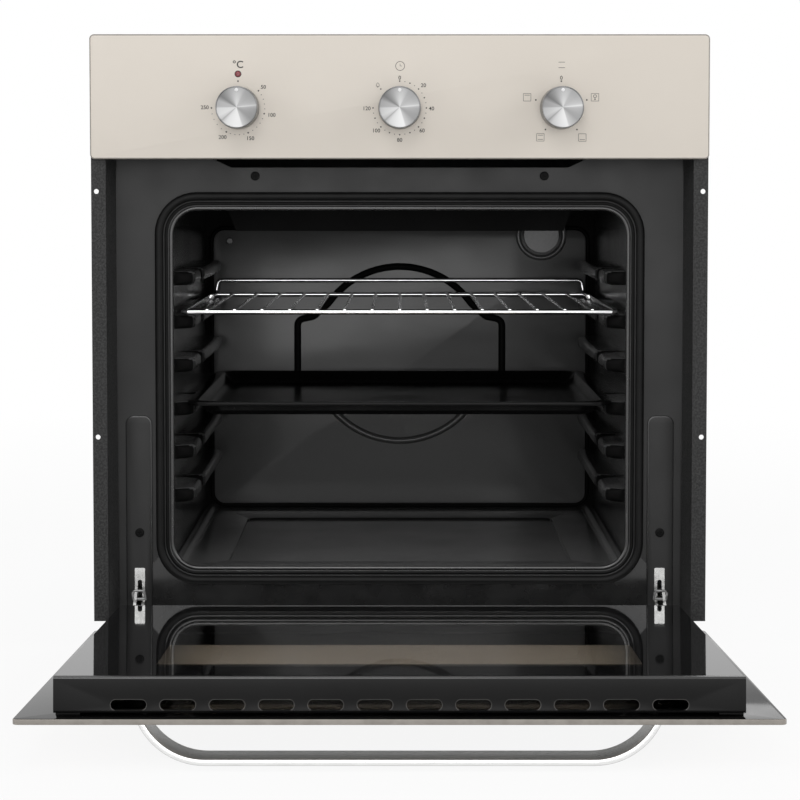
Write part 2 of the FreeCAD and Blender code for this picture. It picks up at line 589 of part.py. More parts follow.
def make_hinges():
    reach = S.hinge_lug / 2 + S.hinge_fit
    web_high = S.receiver_high - S.receiver_step
    tail_y = frame_y + S.receiver_length
    eye = circle(hinge_y, S.hinge_z, S.eye_radius)
    web = polygon([(hinge_y, S.hinge_z - S.eye_radius), (frame_y, S.receiver_low), (tail_y, S.receiver_low),
                   (tail_y, web_high), (frame_y, web_high), (hinge_y, S.hinge_z + S.eye_radius)])
    arm_front = face_y + S.outer_glass + S.strip_wall
    arm_low = S.hinge_z + S.inner_rise
    arm_high = S.hinge_z + S.arm_length
    bar = polygon([(hinge_y - S.eye_radius / 2, S.hinge_z), (arm_front, arm_low), (arm_front, arm_high),
                   (arm_front + S.arm_width, arm_high), (arm_front + S.arm_width, arm_low),
                   (hinge_y + S.eye_radius / 2, S.hinge_z)])
    half = "hinge_lug/2 + hinge_fit + cheek"
    for side, sign in SIDES:
        x = f"{sign}*{HINGE_X}"
        cheeks = []
        for layer, offset in (("inner", -reach - S.cheek), ("outer", reach)):
            low = f"{sign * hinge_x + offset}"
            plates = [pad(f"cheek_{part}_{side}_{layer}", "YZ", [outline], "cheek", (low, "0", "0"))
                      for part, outline in (("eye", eye), ("web", web))]
            cheeks.append(fuse(f"cheek_{side}_{layer}", plates))
        bridge = box(f"receiver_bridge_{side}", (f"{x} - ({half})", f"{x} + {half}"),
                     (f"{FRAME} + receiver_length - 2*cheek", f"{FRAME} + receiver_length"),
                     ("receiver_low", "receiver_high - receiver_step"))
        plate = box(f"receiver_plate_{side}", (f"{x} - ({half})", f"{x} + {half}"),
                    (f"{FRAME} - receiver_plate", FRAME), ("receiver_low", "receiver_high"))
        holes = [rod(f"receiver_eye_{side}", "x", (f"{x} - hinge_lug - 2*cheek", HINGE_Y, "hinge_z"),
                     "2*hinge_lug + 4*cheek", "pin_radius"),
                 rod(f"latch_eye_{side}", "x",
                     (f"{x} - hinge_lug - 2*cheek", f"{FACE} + latch_back", "latch_z"),
                     "2*hinge_lug + 4*cheek", "latch_wire + pin_fit")]
        solid = fuse(f"receiver_solid_{side}", cheeks + [bridge, plate])
        piece(f"hinge_receiver_{side}", cut(f"receiver_{side}", solid, holes))
        piece(f"hinge_pin_{side}", rod(f"pin_{side}", "x",
                                       (f"{x} - ({half}) - hinge_fit", HINGE_Y, "hinge_z"),
                                       f"2*({half}) + 2*hinge_fit", "pin_radius"))
        parts = [pad(f"arm_{part}_{side}", "YZ", [outline], "hinge_lug", (f"{x} - hinge_lug/2", "0", "0"))
                 for part, outline in (("bar", bar), ("eye", eye))]
        bore = rod(f"arm_bore_{side}", "x", (f"{x} - hinge_lug", HINGE_Y, "hinge_z"), "2*hinge_lug",
                   "pin_radius + pin_fit")
        door_piece(f"hinge_arm_{side}", cut(f"arm_{side}", fuse(f"arm_solid_{side}", parts), [bore]))


def make_latches():
    """A wire bail over each receiver, turning in holes through its cheeks."""
    lean = math.radians(S.latch_lean)
    axis_y = face_y + S.latch_back
    tip = (axis_y - S.latch_arm * math.sin(lean), S.latch_z + S.latch_arm * math.cos(lean))
    across = (S.latch_wire * math.cos(lean), S.latch_wire * math.sin(lean))
    arm = polygon([(axis_y - across[0], S.latch_z - across[1]), (axis_y + across[0], S.latch_z + across[1]),
                   (tip[0] + across[0], tip[1] + across[1]), (tip[0] - across[0], tip[1] - across[1])])
    span = S.hinge_lug / 2 + S.cheek + 2 * S.hinge_fit
    for side, sign in SIDES:
        middle = sign * hinge_x
        parts = [pad(f"latch_arm_{side}_{end}", "YZ", [arm], "latch_wire", (f"{middle + offset}", "0", "0"))
                 for end, offset in (("near", -span - S.latch_wire), ("far", span))]
        for end, y, z in (("bar", tip[0], tip[1]), ("pivot", axis_y, S.latch_z)):
            parts.append(rod(f"latch_{end}_{side}", "x", (f"{middle - span - S.latch_wire}", f"{y}", f"{z}"),
                             f"{2 * (span + S.latch_wire)}", "latch_wire"))
        piece(f"hinge_latch_{side}", fuse(f"latch_{side}", parts))


def make_door():
    glass = box("outer_pane", both("front_width/2"), (FACE, GLASS_BACK), ("hinge_z", GLASS_HIGH))
    door_piece("outer_glass", rounded("outer_pane_round", glass, "y", S.panel_round))
    width = both(INNER_X)
    pane_front = f"{DOOR_BACK} - inner_glass"
    pane = box("inner_pane", width, (pane_front, DOOR_BACK), (INNER_LOW, f"{STRIP_HIGH} - strip_wall"))
    door_piece("inner_glass", rounded("inner_pane_round", pane, "y", S.panel_round / 2))
    strip_front = f"{GLASS_BACK} + strip_gap"
    cap = box("strip_cap", width, (strip_front, DOOR_BACK), (f"{STRIP_HIGH} - strip_wall", STRIP_HIGH))
    skirt = box("strip_skirt_wall", width, (strip_front, f"{strip_front} + strip_wall"),
                (f"{STRIP_HIGH} - strip_skirt", STRIP_HIGH))
    slots = []
    for number in range(SLOT_COUNT):
        x = f"{number - (SLOT_COUNT - 1) / 2}*slot_pitch"
        slots.append(box(f"strip_slot_{number}", (f"{x} - slot_length/2", f"{x} + slot_length/2"),
                         (f"{DOOR_BACK} - slot_inset - slot_width/2",
                          f"{DOOR_BACK} - slot_inset + slot_width/2"),
                         (f"{STRIP_HIGH} - 2*strip_wall", f"{STRIP_HIGH} + strip_wall")))
    door_piece("door_top_strip", cut("strip", fuse("strip_solid", [cap, skirt]), slots))
    hollow_depth = (f"{GLASS_BACK} + strip_wall", f"{pane_front} - strip_wall")
    for side, sign in SIDES:
        outside = box(f"channel_block_{side}", sided(sign, f"{INNER_X} - channel_width", INNER_X),
                      (GLASS_BACK, pane_front), (INNER_LOW, f"{STRIP_HIGH} - strip_skirt"))
        inside = box(f"channel_hollow_{side}",
                     sided(sign, f"{INNER_X} - channel_width - strip_wall", f"{INNER_X} - strip_wall"),
                     hollow_depth, (f"{INNER_LOW} - strip_wall", STRIP_HIGH))
        door_piece(f"door_channel_{side}", cut(f"channel_{side}", outside, [inside]))
    rail = box("rail_block", both(f"{INNER_X} - channel_width"), (GLASS_BACK, pane_front),
               (INNER_LOW, f"{INNER_LOW} + rail_height"))
    hollow = box("rail_hollow", both(f"{INNER_X} - channel_width + strip_wall"), hollow_depth,
                 (f"{INNER_LOW} + strip_wall", f"{INNER_LOW} + 2*rail_height"))
    door_piece("door_bottom_rail", cut("rail", rail, [hollow]))
    heads = []
    for side, sign in SIDES:
        low, high = sided(sign, INNER_X, f"{INNER_X} + door_screw_proud")
        heads.append(rod(f"channel_screw_{side}", "x", (low, f"{pane_front} - side_screw_inset",
                                                        f"{STRIP_HIGH} - strip_skirt - side_screw_drop"),
                         "door_screw_proud", "door_screw_radius"))
    door_piece("channel_screws", group("channel_screw_set", heads))


def make_handle():
    """A flat strip whose ends curve back to the glass along arcs that leave the straight part smoothly."""
    half = S.handle_width / 2
    straight = half - S.handle_bend
    out = face_y - S.handle_reach
    outer = (S.handle_bend ** 2 + S.handle_reach ** 2) / (2 * S.handle_reach)
    centre_y = out + outer

    def end_arc(sign, radius):
        """From the straight part to the glass, about the centre of the bend."""
        sweep = math.acos((centre_y - face_y) / radius)
        return [Vector(sign * (straight + radius * math.sin(turn)), centre_y - radius * math.cos(turn), 0)
                for turn in (0, sweep / 2, sweep)]

    def line(start, end):
        return Part.LineSegment(start, end)

    left_out, right_out = end_arc(-1, outer), end_arc(1, outer)
    left_in, right_in = end_arc(-1, outer - S.handle_strip), end_arc(1, outer - S.handle_strip)
    curves = [Part.Arc(*left_out), line(left_out[0], right_out[0]), Part.Arc(*right_out),
              line(right_out[2], right_in[2]), Part.Arc(*right_in), line(right_in[0], left_in[0]),
              Part.Arc(*left_in), line(left_in[2], left_out[2])]
    strip_low = f"{GLASS_HIGH} - handle_drop - handle_height"
    strip = pad("handle_strip_body", "XY", [curves], "handle_height", ("0", "0", strip_low))
    door_piece("handle", group("handle_bar", [strip]))
    heads = [rod(f"handle_screw_{side}", "y", (f"{sign}*(handle_width/2 - handle_screw_inset)", GLASS_BACK,
                                               f"{strip_low} + handle_height/2"),
                 "door_screw_proud", "door_screw_radius") for side, sign in SIDES]
    door_piece("handle_screws", group("handle_screw_set", heads))


def make_shelf():
    front = f"({FRAME} + shelf_back)"
    rear = f"{front} + shelf_depth"
    side_x = f"({SHELF_X} - shelf_frame)"
    parts = []
    for name, y, z in (("front", front, SHELF_Z), ("rear", rear, SHELF_Z),
                       ("rail", rear, f"{SHELF_Z} + shelf_rail")):
        parts.append(rod(f"shelf_{name}_bar", "x", (f"-{side_x}", y, z), f"2*{side_x}", "shelf_frame"))
    for side, sign in SIDES:
        parts.append(rod(f"shelf_side_{side}", "y", (f"{sign}*{side_x}", front, SHELF_Z),
                         "shelf_depth", "shelf_frame"))
        parts.append(rod(f"shelf_post_{side}", "z", (f"{sign}*({side_x} - shelf_post_inset)", rear, SHELF_Z),
                         "shelf_rail", "shelf_frame"))
    for number in range(SHELF_BARS):
        x = f"{number - (SHELF_BARS - 1) / 2}*2*({SHELF_X} - shelf_bar_inset)/{SHELF_BARS - 1}"
        parts.append(rod(f"shelf_bar_{number}", "y", (x, front, SHELF_Z), "shelf_depth", "shelf_wire"))
    piece("wire_shelf", fuse("shelf", parts))


def make_tray():
    front = f"({FRAME} + tray_back)"
    rim = box("tray_rim_plate", both(TRAY_X), (front, f"{front} + tray_depth"),
              (TRAY_Z, f"{TRAY_Z} + tray_wall"))
    pan = box("tray_pan", both(f"{TRAY_X} - tray_rim"),
              (f"{front} + tray_rim", f"{front} + tray_depth - tray_rim"),
              (f"{TRAY_Z} - tray_fall", f"{TRAY_Z} + tray_wall"))
    well = box("tray_well", both(f"{TRAY_X} - tray_rim - tray_wall"),
               (f"{front} + tray_rim + tray_wall", f"{front} + tray_depth - tray_rim - tray_wall"),
               (f"{TRAY_Z} - tray_fall + tray_wall", f"{TRAY_Z} + 3*tray_wall"))
    shell = fuse("tray_shell", [rounded("tray_rim_round", rim, "z", S.tray_rim),
                                rounded("tray_pan_round", pan, "z", S.tray_round)])
    hollow = rounded("tray_well_round", well, "z", S.tray_round - S.tray_wall)
    piece("baking_tray", cut("tray", shell, [hollow]))


def main():
    make_casing()
    make_front_frame()
    make_gasket()
    make_trims()
    make_cavity()
    make_insulation()
    make_elements()
    make_lamp()
    make_controls()
    make_hinges()
    make_latches()
    make_door()
    make_handle()
    make_shelf()
    make_tray()
    doc.recompute()
    for obj in doc.Objects:
        if {"Invalid", "Error"} & set(obj.State):
            raise RuntimeError(f"{obj.Name} failed: {obj.State}")
    os.makedirs("parts", exist_ok=True)
    for name, obj in PIECES.items():
        if obj.Shape.isNull() or not obj.Shape.isValid():
            raise RuntimeError(f"{name} has no valid shape")
        obj.Shape.exportStep(f"parts/{name}.step")


main()
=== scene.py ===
"""Built-in oven with its door open: the looks of the part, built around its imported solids."""
import math

import bpy
from mathutils import Matrix, Vector


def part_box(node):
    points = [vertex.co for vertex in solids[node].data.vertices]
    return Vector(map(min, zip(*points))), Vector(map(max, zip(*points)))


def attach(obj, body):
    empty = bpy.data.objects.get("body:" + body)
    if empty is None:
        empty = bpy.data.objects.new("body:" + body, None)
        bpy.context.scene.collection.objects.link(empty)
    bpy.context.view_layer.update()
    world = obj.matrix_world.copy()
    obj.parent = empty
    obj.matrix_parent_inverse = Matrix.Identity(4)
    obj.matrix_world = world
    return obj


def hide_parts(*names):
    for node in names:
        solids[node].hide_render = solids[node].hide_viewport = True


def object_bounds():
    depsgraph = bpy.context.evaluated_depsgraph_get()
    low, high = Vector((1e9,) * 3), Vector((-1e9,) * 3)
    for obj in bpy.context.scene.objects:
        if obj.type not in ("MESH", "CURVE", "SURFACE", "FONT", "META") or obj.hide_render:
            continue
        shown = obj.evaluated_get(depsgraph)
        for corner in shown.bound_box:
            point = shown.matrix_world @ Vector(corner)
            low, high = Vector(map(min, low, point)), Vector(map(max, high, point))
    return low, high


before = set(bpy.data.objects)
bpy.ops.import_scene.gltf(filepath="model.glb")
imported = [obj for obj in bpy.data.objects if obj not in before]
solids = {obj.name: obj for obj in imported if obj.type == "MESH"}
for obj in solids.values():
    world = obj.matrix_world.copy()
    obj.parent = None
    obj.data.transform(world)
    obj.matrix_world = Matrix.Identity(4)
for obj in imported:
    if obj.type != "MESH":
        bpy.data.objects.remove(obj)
solids_low, solids_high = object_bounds()


# Casing: side walls, lid, back cover and base of galvanised steel sheet, folded and pressed with a
# shallow stiffening field, with rows of vent slots, and screwed together along the edges.
SHEET, FIELD_SINK, FIELD_SLOPE, SHEET_ROUND = 0.0012, 0.003, 0.006, 0.0015
SLOT_LONG, SLOT_WIDE, SLOT_STEP, SLOT_CUT = 0.026, 0.005, 0.04, 0.02
SIDE_SLOTS, SIDE_SLOTS_X, SIDE_SLOTS_FROM = 9, 0.2775, -0.19
WIDE_SLOTS, WIDE_SLOTS_FROM = 11, -0.2
INLET_X, INLET_Z, INLET_WIDE, INLET_TALL = -0.18, 0.52, 0.04, 0.02
SIDE_MARGIN, LID_MARGIN, COVER_MARGIN, BASE_MARGIN = 0.055, 0.06, 0.05, 0.07
CASING_SIDE, SCREW_RADIUS, SCREW_HEIGHT, SCREW_SUNK = 0.278, 0.0038, 0.0018, 0.0014
SIDES = (("left", -1), ("right", 1))
X, Y, Z = 0, 1, 2
QUARTER = math.pi / 2
FACING = {"left": (0, -QUARTER, 0), "right": (0, QUARTER, 0), "front": (QUARTER, 0, 0),
          "back": (-QUARTER, 0, 0), "up": (0, 0, 0)}


def choose(piece):
    """Makes this the only chosen piece."""
    bpy.ops.object.select_all(action="DESELECT")
    piece.select_set(True)
    bpy.context.view_layer.objects.active = piece


def settled(name):
    """The piece in hand, under its name and with its place in its mesh."""
    piece = bpy.context.object
    piece.name = name
    bpy.ops.object.transform_apply(location=True, rotation=True, scale=True)
    return piece


def block(name, low, high):
    """A box between two corners."""
    middle = [(a + b) / 2 for a, b in zip(low, high)]
    bpy.ops.mesh.primitive_cube_add(size=1, location=middle)
    bpy.context.object.scale = [b - a for a, b in zip(low, high)]
    return settled(name)


def edit(piece, kind):
    """Only this piece, in edit mode, choosing faces, edges or corners."""
    choose(piece)
    bpy.ops.object.mode_set(mode="EDIT")
    bpy.ops.mesh.select_mode(type=kind)


def done():
    bpy.ops.object.mode_set(mode="OBJECT")


def pick(piece, kind, items, chosen):
    """Edit mode with some of the faces or edges chosen."""
    edit(piece, kind)
    bpy.ops.mesh.select_all(action="DESELECT")
    done()
    getattr(piece.data, items).foreach_set("select", chosen)
    edit(piece, kind)


def pick_faces(piece, wanted):
    """Edit mode with the faces chosen by their middle and normal."""
    pick(piece, "FACE", "polygons", [bool(wanted(face.center, face.normal)) for face in piece.data.polygons])


def pick_edges(piece, wanted):
    """Edit mode with the edges chosen by their two ends."""
    corners = piece.data.vertices
    ends = [[corners[number].co for number in edge.vertices] for edge in piece.data.edges]
    pick(piece, "EDGE", "edges", [bool(wanted(first, last)) for first, last in ends])


def round_edges(piece, width, steps, wanted):
    """Rounds the chosen edges."""
    pick_edges(piece, wanted)
    bpy.ops.mesh.bevel(offset=width, segments=steps, affect="EDGES")
    done()


def rounded_block(name, low, high, axis, radius, steps=6):
    """A box with its four edges along one axis rounded."""
    piece = block(name, low, high)
    round_edges(piece, radius, steps, lambda a, b: abs((a - b)[axis]) > 0.0001)
    return piece


def finish_with(piece, kind, **values):
    """Adds a modifier with these values and applies it."""
    choose(piece)
    step = piece.modifiers.new(kind.lower(), kind)
    for key, value in values.items():
        setattr(step, key, value)
    bpy.ops.object.modifier_apply(modifier=step.name)


def cut_out(piece, cutter):
    """Takes the cutter's shape out of a piece and drops the cutter."""
    finish_with(piece, "BOOLEAN", operation="DIFFERENCE", object=cutter, solver="EXACT")
    bpy.data.objects.remove(cutter)


def join(name, pieces):
    """One mesh from several."""
    choose(pieces[0])
    for part in pieces:
        part.select_set(True)
    if len(pieces) > 1:
        bpy.ops.object.join()
    pieces[0].name = name
    return pieces[0]


def copy_to(piece, move, turn=(0, 0, 0)):
    """A copy with its own mesh, turned about the origin and moved."""
    twin = piece.copy()
    twin.data = piece.data.copy()
    bpy.context.collection.objects.link(twin)
    twin.rotation_euler = turn
    twin.location = move
    choose(twin)
    return settled(twin.name)


def smooth(piece, angle):
    choose(piece)
    bpy.ops.object.shade_smooth_by_angle(angle=math.radians(angle))


def feed(tree, taker, inputs):
    """Sets a node's inputs to values, or feeds them from other nodes."""
    for key, value in inputs.items():
        if isinstance(value, bpy.types.NodeSocket):
            tree.links.new(value, taker.inputs[key])
        else:
            taker.inputs[key].default_value = value


def node(tree, kind, inputs=(), operation=None):
    """A new shader node with its inputs set or fed."""
    maker = tree.nodes.new(f"ShaderNode{kind}")
    if operation:
        maker.operation = operation
    feed(tree, maker, dict(inputs))
    return maker


def set_shader(material, inputs):
    feed(material.node_tree, material.node_tree.nodes["Principled BSDF"], inputs)


def new_finish(name, rough, metal=0.0, shine=0.5):
    """A material whose shader is ready for its colour and texture. Shine is how much it mirrors."""
    material = bpy.data.materials.new(name)
    material.use_nodes = True
    set_shader(material, {"Roughness": rough, "Metallic": metal, "Specular IOR Level": shine})
    return material


def grain(material, scale, detail=3, stretch=(1, 1, 1)):
    """Noise in the piece's own space, for the colour, sheen and bump of a finish."""
    tree = material.node_tree
    place = node(tree, "TexCoord").outputs["Object"]
    fit = node(tree, "Mapping", {"Vector": place, "Scale": [scale * s for s in stretch]})
    noise = node(tree, "TexNoise", {"Vector": fit.outputs["Vector"], "Scale": 1.0, "Detail": detail})
    return noise.outputs["Fac"]


def colour(tone):
    """A colour from one grey or from red, green and blue."""
    return (tone, tone, tone, 1) if isinstance(tone, float) else (*tone, 1)


def tint(material, pattern, dark, light, low=0.3, high=0.7):
    """Colour that runs from dark to light over a pattern."""
    ramp = node(material.node_tree, "ValToRGB", {"Fac": pattern})
    for stop, place, tone in zip(ramp.color_ramp.elements, (low, high), (dark, light)):
        stop.position = place
        stop.color = colour(tone)
    set_shader(material, {"Base Color": ramp.outputs["Color"]})


def sheen_range(material, pattern, low, high):
    """Roughness that runs between two values over a pattern."""
    span = node(material.node_tree, "MapRange", {"Value": pattern, "From Min": 0.3, "From Max": 0.7,
                                                 "To Min": low, "To Max": high})
    set_shader(material, {"Roughness": span.outputs["Result"]})


def bumps(material, pattern, strength, depth):
    """Fine relief from a pattern, depth in metres."""
    relief = node(material.node_tree, "Bump", {"Height": pattern, "Strength": strength, "Distance": depth})
    set_shader(material, {"Normal": relief.outputs["Normal"]})


def fit_piece(piece, material, body, slot, *stands_for):
    """Gives a finished piece its material and body, and hides the solids that it stands for. Slot is not
    used.
    """
    piece.data.materials.clear()
    piece.data.materials.append(material)
    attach(piece, body)
    if stands_for:
        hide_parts(*stands_for)


def dress(material, *names):
    """A better material on solids whose shape is right."""
    for name in names:
        mesh = solids[name].data
        mesh.materials.clear()
        mesh.materials.append(material)


zinc_sheet = new_finish("galvanised_sheet", 0.38, 1.0)
tree = zinc_sheet.node_tree
spangle = node(tree, "TexVoronoi", {"Vector": node(tree, "TexCoord").outputs["Object"], "Scale": 150})
spangle_grey = node(tree, "RGBToBW", {"Color": spangle.outputs["Color"]}).outputs["Val"]
tint(zinc_sheet, spangle_grey, (0.40, 0.41, 0.42), (0.48, 0.49, 0.50), 0.1, 0.9)
sheen_range(zinc_sheet, spangle_grey, 0.32, 0.5)
bumps(zinc_sheet, grain(zinc_sheet, 55, 4), 0.05, 0.0006)


def slot_row(count, start, step, size, through):
    """Rounded slots as one cutter, the first at start and each a step on, cut along one axis."""
    low = [s - d / 2 for s, d in zip(start, size)]
    high = [s + d / 2 for s, d in zip(start, size)]
    almost_half = 0.49 * min(d for axis, d in enumerate(size) if axis != through)
    row = rounded_block("slot_cutter", low, high, through, almost_half)
    finish_with(row, "ARRAY", count=count, use_relative_offset=False, use_constant_offset=True,
                constant_offset_displace=step)
    return row


def casing_sheet(name, solid, facing, margin, rows):
    """A sheet in place of a solid, with a field pressed into its outer face and rows of slots."""
    wall = block(name, *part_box(solid))
    out = Vector(facing)
    pick_faces(wall, lambda middle, normal: normal.dot(out) < 0.9)
    bpy.ops.mesh.delete(type="FACE")
    done()
    pick_faces(wall, lambda middle, normal: True)
    bpy.ops.mesh.inset(thickness=margin, depth=0)
    bpy.ops.mesh.inset(thickness=FIELD_SLOPE, depth=-FIELD_SINK)
    done()
    round_edges(wall, SHEET_ROUND, 2, lambda a, b: (a - b).length > 0.01)
    finish_with(wall, "SOLIDIFY", thickness=SHEET, offset=-1)
    for row in rows:
        cut_out(wall, slot_row(*row))
    smooth(wall, 25)
    fit_piece(wall, zinc_sheet, "carcass", "steel", solid)
    return wall


def screw_head(radius, height):
    """A domed screw head with a cross slot, standing on the origin and facing up."""
    bpy.ops.mesh.primitive_cylinder_add(vertices=28, radius=radius, depth=height, location=(0, 0, height / 2))
    head = settled("screw_head")
    round_edges(head, height * 0.55, 3, lambda a, b: min(a.z, b.z) > height * 0.9)
    arm_long, arm_wide = radius * 0.55, radius * 0.13
    for wide, deep in ((arm_long, arm_wide), (arm_wide, arm_long)):
        cut_out(head, block("cross_cutter", (-wide, -deep, height * 0.35), (wide, deep, height * 2)))
    smooth(head, 30)
    return head


def screws(name, radius, height, places, facing):
    """Screw heads at their places, all facing one way, as one piece."""
    pattern = screw_head(radius, height)
    heads = [copy_to(pattern, place, FACING[facing]) for place in places]
    bpy.data.objects.remove(pattern)
    return join(name, heads)


def casing_screws(name, places, facing):
    heads = screws(name, SCREW_RADIUS, SCREW_HEIGHT, places, facing)
    fit_piece(heads, zinc_sheet, "carcass", "steel")


casing_sides = []
for side, sign in SIDES:
    row_size = (SLOT_CUT, SLOT_LONG, SLOT_WIDE)
    rows = [(SIDE_SLOTS, (sign * SIDE_SLOTS_X, SIDE_SLOTS_FROM, z), (0, SLOT_STEP, 0), row_size, X)
            for z in (0.558, 0.032)]
    wall = casing_sheet(f"casing_side_{side}", f"side_panel_{side}", (sign, 0, 0), SIDE_MARGIN, rows)
    casing_sides.append(wall)
    places = [(sign * CASING_SIDE, y, z) for y in (-0.235, 0.247) for z in (0.1, 0.3, 0.5)]
    casing_screws(f"casing_screws_{side}", places, side)

lid_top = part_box("top_cover")[1][Z]
row_size = (SLOT_LONG, SLOT_WIDE, SLOT_CUT)
lid_row = (WIDE_SLOTS, (WIDE_SLOTS_FROM, 0.226, lid_top), (SLOT_STEP, 0, 0), row_size, Z)
casing_sheet("casing_lid", "top_cover", (0, 0, 1), LID_MARGIN, [lid_row])
casing_screws("lid_screws", [(x, y, lid_top) for x in (-0.262, 0.262) for y in (-0.2, 0.0, 0.2)], "up")

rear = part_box("back_cover")[1][Y]
row_size = (SLOT_LONG, SLOT_CUT, SLOT_WIDE)
rows = [(WIDE_SLOTS, (WIDE_SLOTS_FROM, rear, z), (SLOT_STEP, 0, 0), row_size, Y)
        for z in (0.075, 0.089, 0.56)]
inlet = (1, (INLET_X, rear, INLET_Z), (1, 0, 0), (INLET_WIDE, SLOT_CUT, INLET_TALL), Y)
cover = casing_sheet("casing_back", "back_cover", (0, 1, 0), COVER_MARGIN, rows + [inlet])
places = [(x, rear - SCREW_SUNK, z) for x in (-0.264, 0.264) for z in (0.05, 0.3, 0.545)]
casing_screws("cover_screws", places, "back")

casing_sheet("casing_base", "base_plate", (0, 0, -1), BASE_MARGIN, [])
dress(zinc_sheet, "divider_plate", "panel_bracket")

# Front frame: one steel sheet with the cavity mouth pressed out of it, its edge rolled in, and a
# raised strip over each hinge. Satin black stove paint; the vent notch is cut from its top edge.
frame_low, frame_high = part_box("front_frame")
FRONT = frame_low[Y]
CUT = 0.01
MOUTH_SIDE, MOUTH_ROUND = 0.225, 0.026
MOUTH = (MOUTH_SIDE, 0.0718, 0.4285, MOUTH_ROUND)
NOTCH_SIDE, NOTCH_LOW, NOTCH_HIGH, NOTCH_FLARE = 0.165, 0.4677, 0.48, 1.16
RAISED_X, RAISED_HALF, RAISED_LOW, RAISED_HIGH, RAISED_PROUD = 0.257, 0.013, 0.02, 0.2237, 0.0018
HINGE_X, HOLE_HALF, HOLE_LOW, HOLE_HIGH = 0.2566, 0.0051, 0.0355, 0.0682


def ahead_of(limit):
    """Chooses the edges that lie in front of a limit."""
    return lambda a, b: max(a.y, b.y) < limit


def finish(name, rough, dark, light, pattern, metal=0.0, shine=0.5, span=(0.3, 0.7), sheen=(), relief=(),
           **more):
    """A material that runs from dark to light over a pattern: a noise's scale, detail and stretch.

    Sheen is a noise's scale and detail and the roughness at its two ends. Relief is a noise's scale and
    detail, the strength of its bumps and their depth. More names other inputs of the shader.
    """
    material = new_finish(name, rough, metal, shine)
    set_shader(material, {key.replace("_", " "): value for key, value in more.items()})
    tint(material, grain(material, *pattern), dark, light, *span)
    if sheen:
        sheen_range(material, grain(material, *sheen[:2]), *sheen[2:])
    if relief:
        bumps(material, grain(material, *relief[:2]), *relief[2:])
    return material


def second_finish(piece, material, wanted):
    """Another finish on the faces chosen by their middle and normal."""
    piece.data.materials.append(material)
    for face in piece.data.polygons:
        if wanted(face.center, face.normal):
            face.material_index = len(piece.data.materials) - 1


def bent(points, radius, steps=6, closed=False):
    """The points with each corner turned into an arc."""
    path = []
    points = [Vector(point) for point in points]
    count = len(points)
    for number, corner in enumerate(points):
        if not closed and number in (0, count - 1):
            path.append(corner)
            continue
        back = (points[number - 1] - corner).normalized()
        ahead = (points[(number + 1) % count] - corner).normalized()
        half = back.angle(ahead) / 2
        if half > math.radians(89):
            path.append(corner)
            continue
        middle = corner + (back + ahead).normalized() * (radius / math.sin(half))
        start = (corner + back * (radius / math.tan(half)) - middle).normalized()
        end = (corner + ahead * (radius / math.tan(half)) - middle).normalized()
        path += [middle + start.slerp(end, step / steps) * radius for step in range(steps + 1)]
    return path


def line(name, path):
    """Edges from point to point, all chosen in edit mode."""
    bpy.ops.mesh.primitive_plane_add(size=0.001, location=path[0])
    edges = settled(name)
    edit(edges, "VERT")
    bpy.ops.mesh.select_all(action="SELECT")
    bpy.ops.mesh.merge(type="CENTER")
    for here, there in zip(path, path[1:]):
        bpy.ops.mesh.extrude_vertices_move(TRANSFORM_OT_translate={"value": Vector(there) - Vector(here)})
    bpy.ops.mesh.select_all(action="SELECT")
    return edges


def wire(name, path, radius, closed=False, sides=3):
    """A round bar drawn along a path, corner by corner."""
    bar = line(name, list(path) + [path[0]] if closed else path)
    bpy.ops.mesh.remove_doubles(threshold=0.00001)
    done()
    bpy.ops.object.convert(target="CURVE")
    bar.data.bevel_depth = radius
    bar.data.bevel_resolution = sides
    bar.data.use_fill_caps = True
    bpy.ops.object.convert(target="MESH")
    bar = bpy.context.object
    bar.name = name
    smooth(bar, 50)
    return bar


def upright(name, outline, front, rear, steps=6):
    """A slab between two depths. Its outline is its half width, foot, top and corner radius."""
    side, low, high, corner = outline
    return rounded_block(name, (-side, front, low), (side, rear, high), Y, corner, steps)


def outline_wire(name, outline, out, y, radius, corner=None, steps=10, sides=3):
    """A round bar along an outline, moved outwards."""
    side, low, high = outline[0] + out, outline[1] - out, outline[2] + out
    corners = [(-side, y, low), (side, y, low), (side, y, high), (-side, y, high)]
    path = bent(corners, corner or outline[3] + out, steps, closed=True)
    return wire(name, path, radius, closed=True, sides=sides)


def beyond(middle, outline):
    """How far a point lies outside an outline, below zero inside it."""
    side, low, high, corner = outline
    across = abs(middle.x) - side + corner
    along = abs(middle.z - (low + high) / 2) - (high - low) / 2 + corner
    return math.hypot(max(across, 0), max(along, 0)) + min(max(across, along), 0) - corner


face = block("frame_face", frame_low, frame_high)
cut_out(face, upright("mouth_cutter", MOUTH, FRONT - CUT, FRONT + CUT, 10))
notch = block("notch_cutter", (-NOTCH_SIDE, FRONT - CUT, NOTCH_LOW), (NOTCH_SIDE, FRONT + CUT, NOTCH_HIGH))
pick_faces(notch, lambda middle, normal: normal.z > 0.9)
bpy.ops.transform.resize(value=(NOTCH_FLARE, 1, 1))
done()
cut_out(face, notch)
strips = []
for side, sign in SIDES:
    strip = block("hinge_strip", (sign * RAISED_X - RAISED_HALF, FRONT - RAISED_PROUD, RAISED_LOW),
                  (sign * RAISED_X + RAISED_HALF, FRONT + 0.0004, RAISED_HIGH))
    round_edges(strip, 0.008, 6, lambda a, b: min(a.z, b.z) > 0.2 and abs((a - b).y) > 0.001)
    round_edges(strip, 0.0012, 2, ahead_of(FRONT - 0.001))
    for part in (face, strip):
        cut_out(part, block("receiver_cutter", (sign * HINGE_X - HOLE_HALF, FRONT - CUT, HOLE_LOW),
                            (sign * HINGE_X + HOLE_HALF, FRONT + CUT, HOLE_HIGH)))
    strips.append(strip)
face = join("frame_face", [face] + strips)
smooth(face, 30)
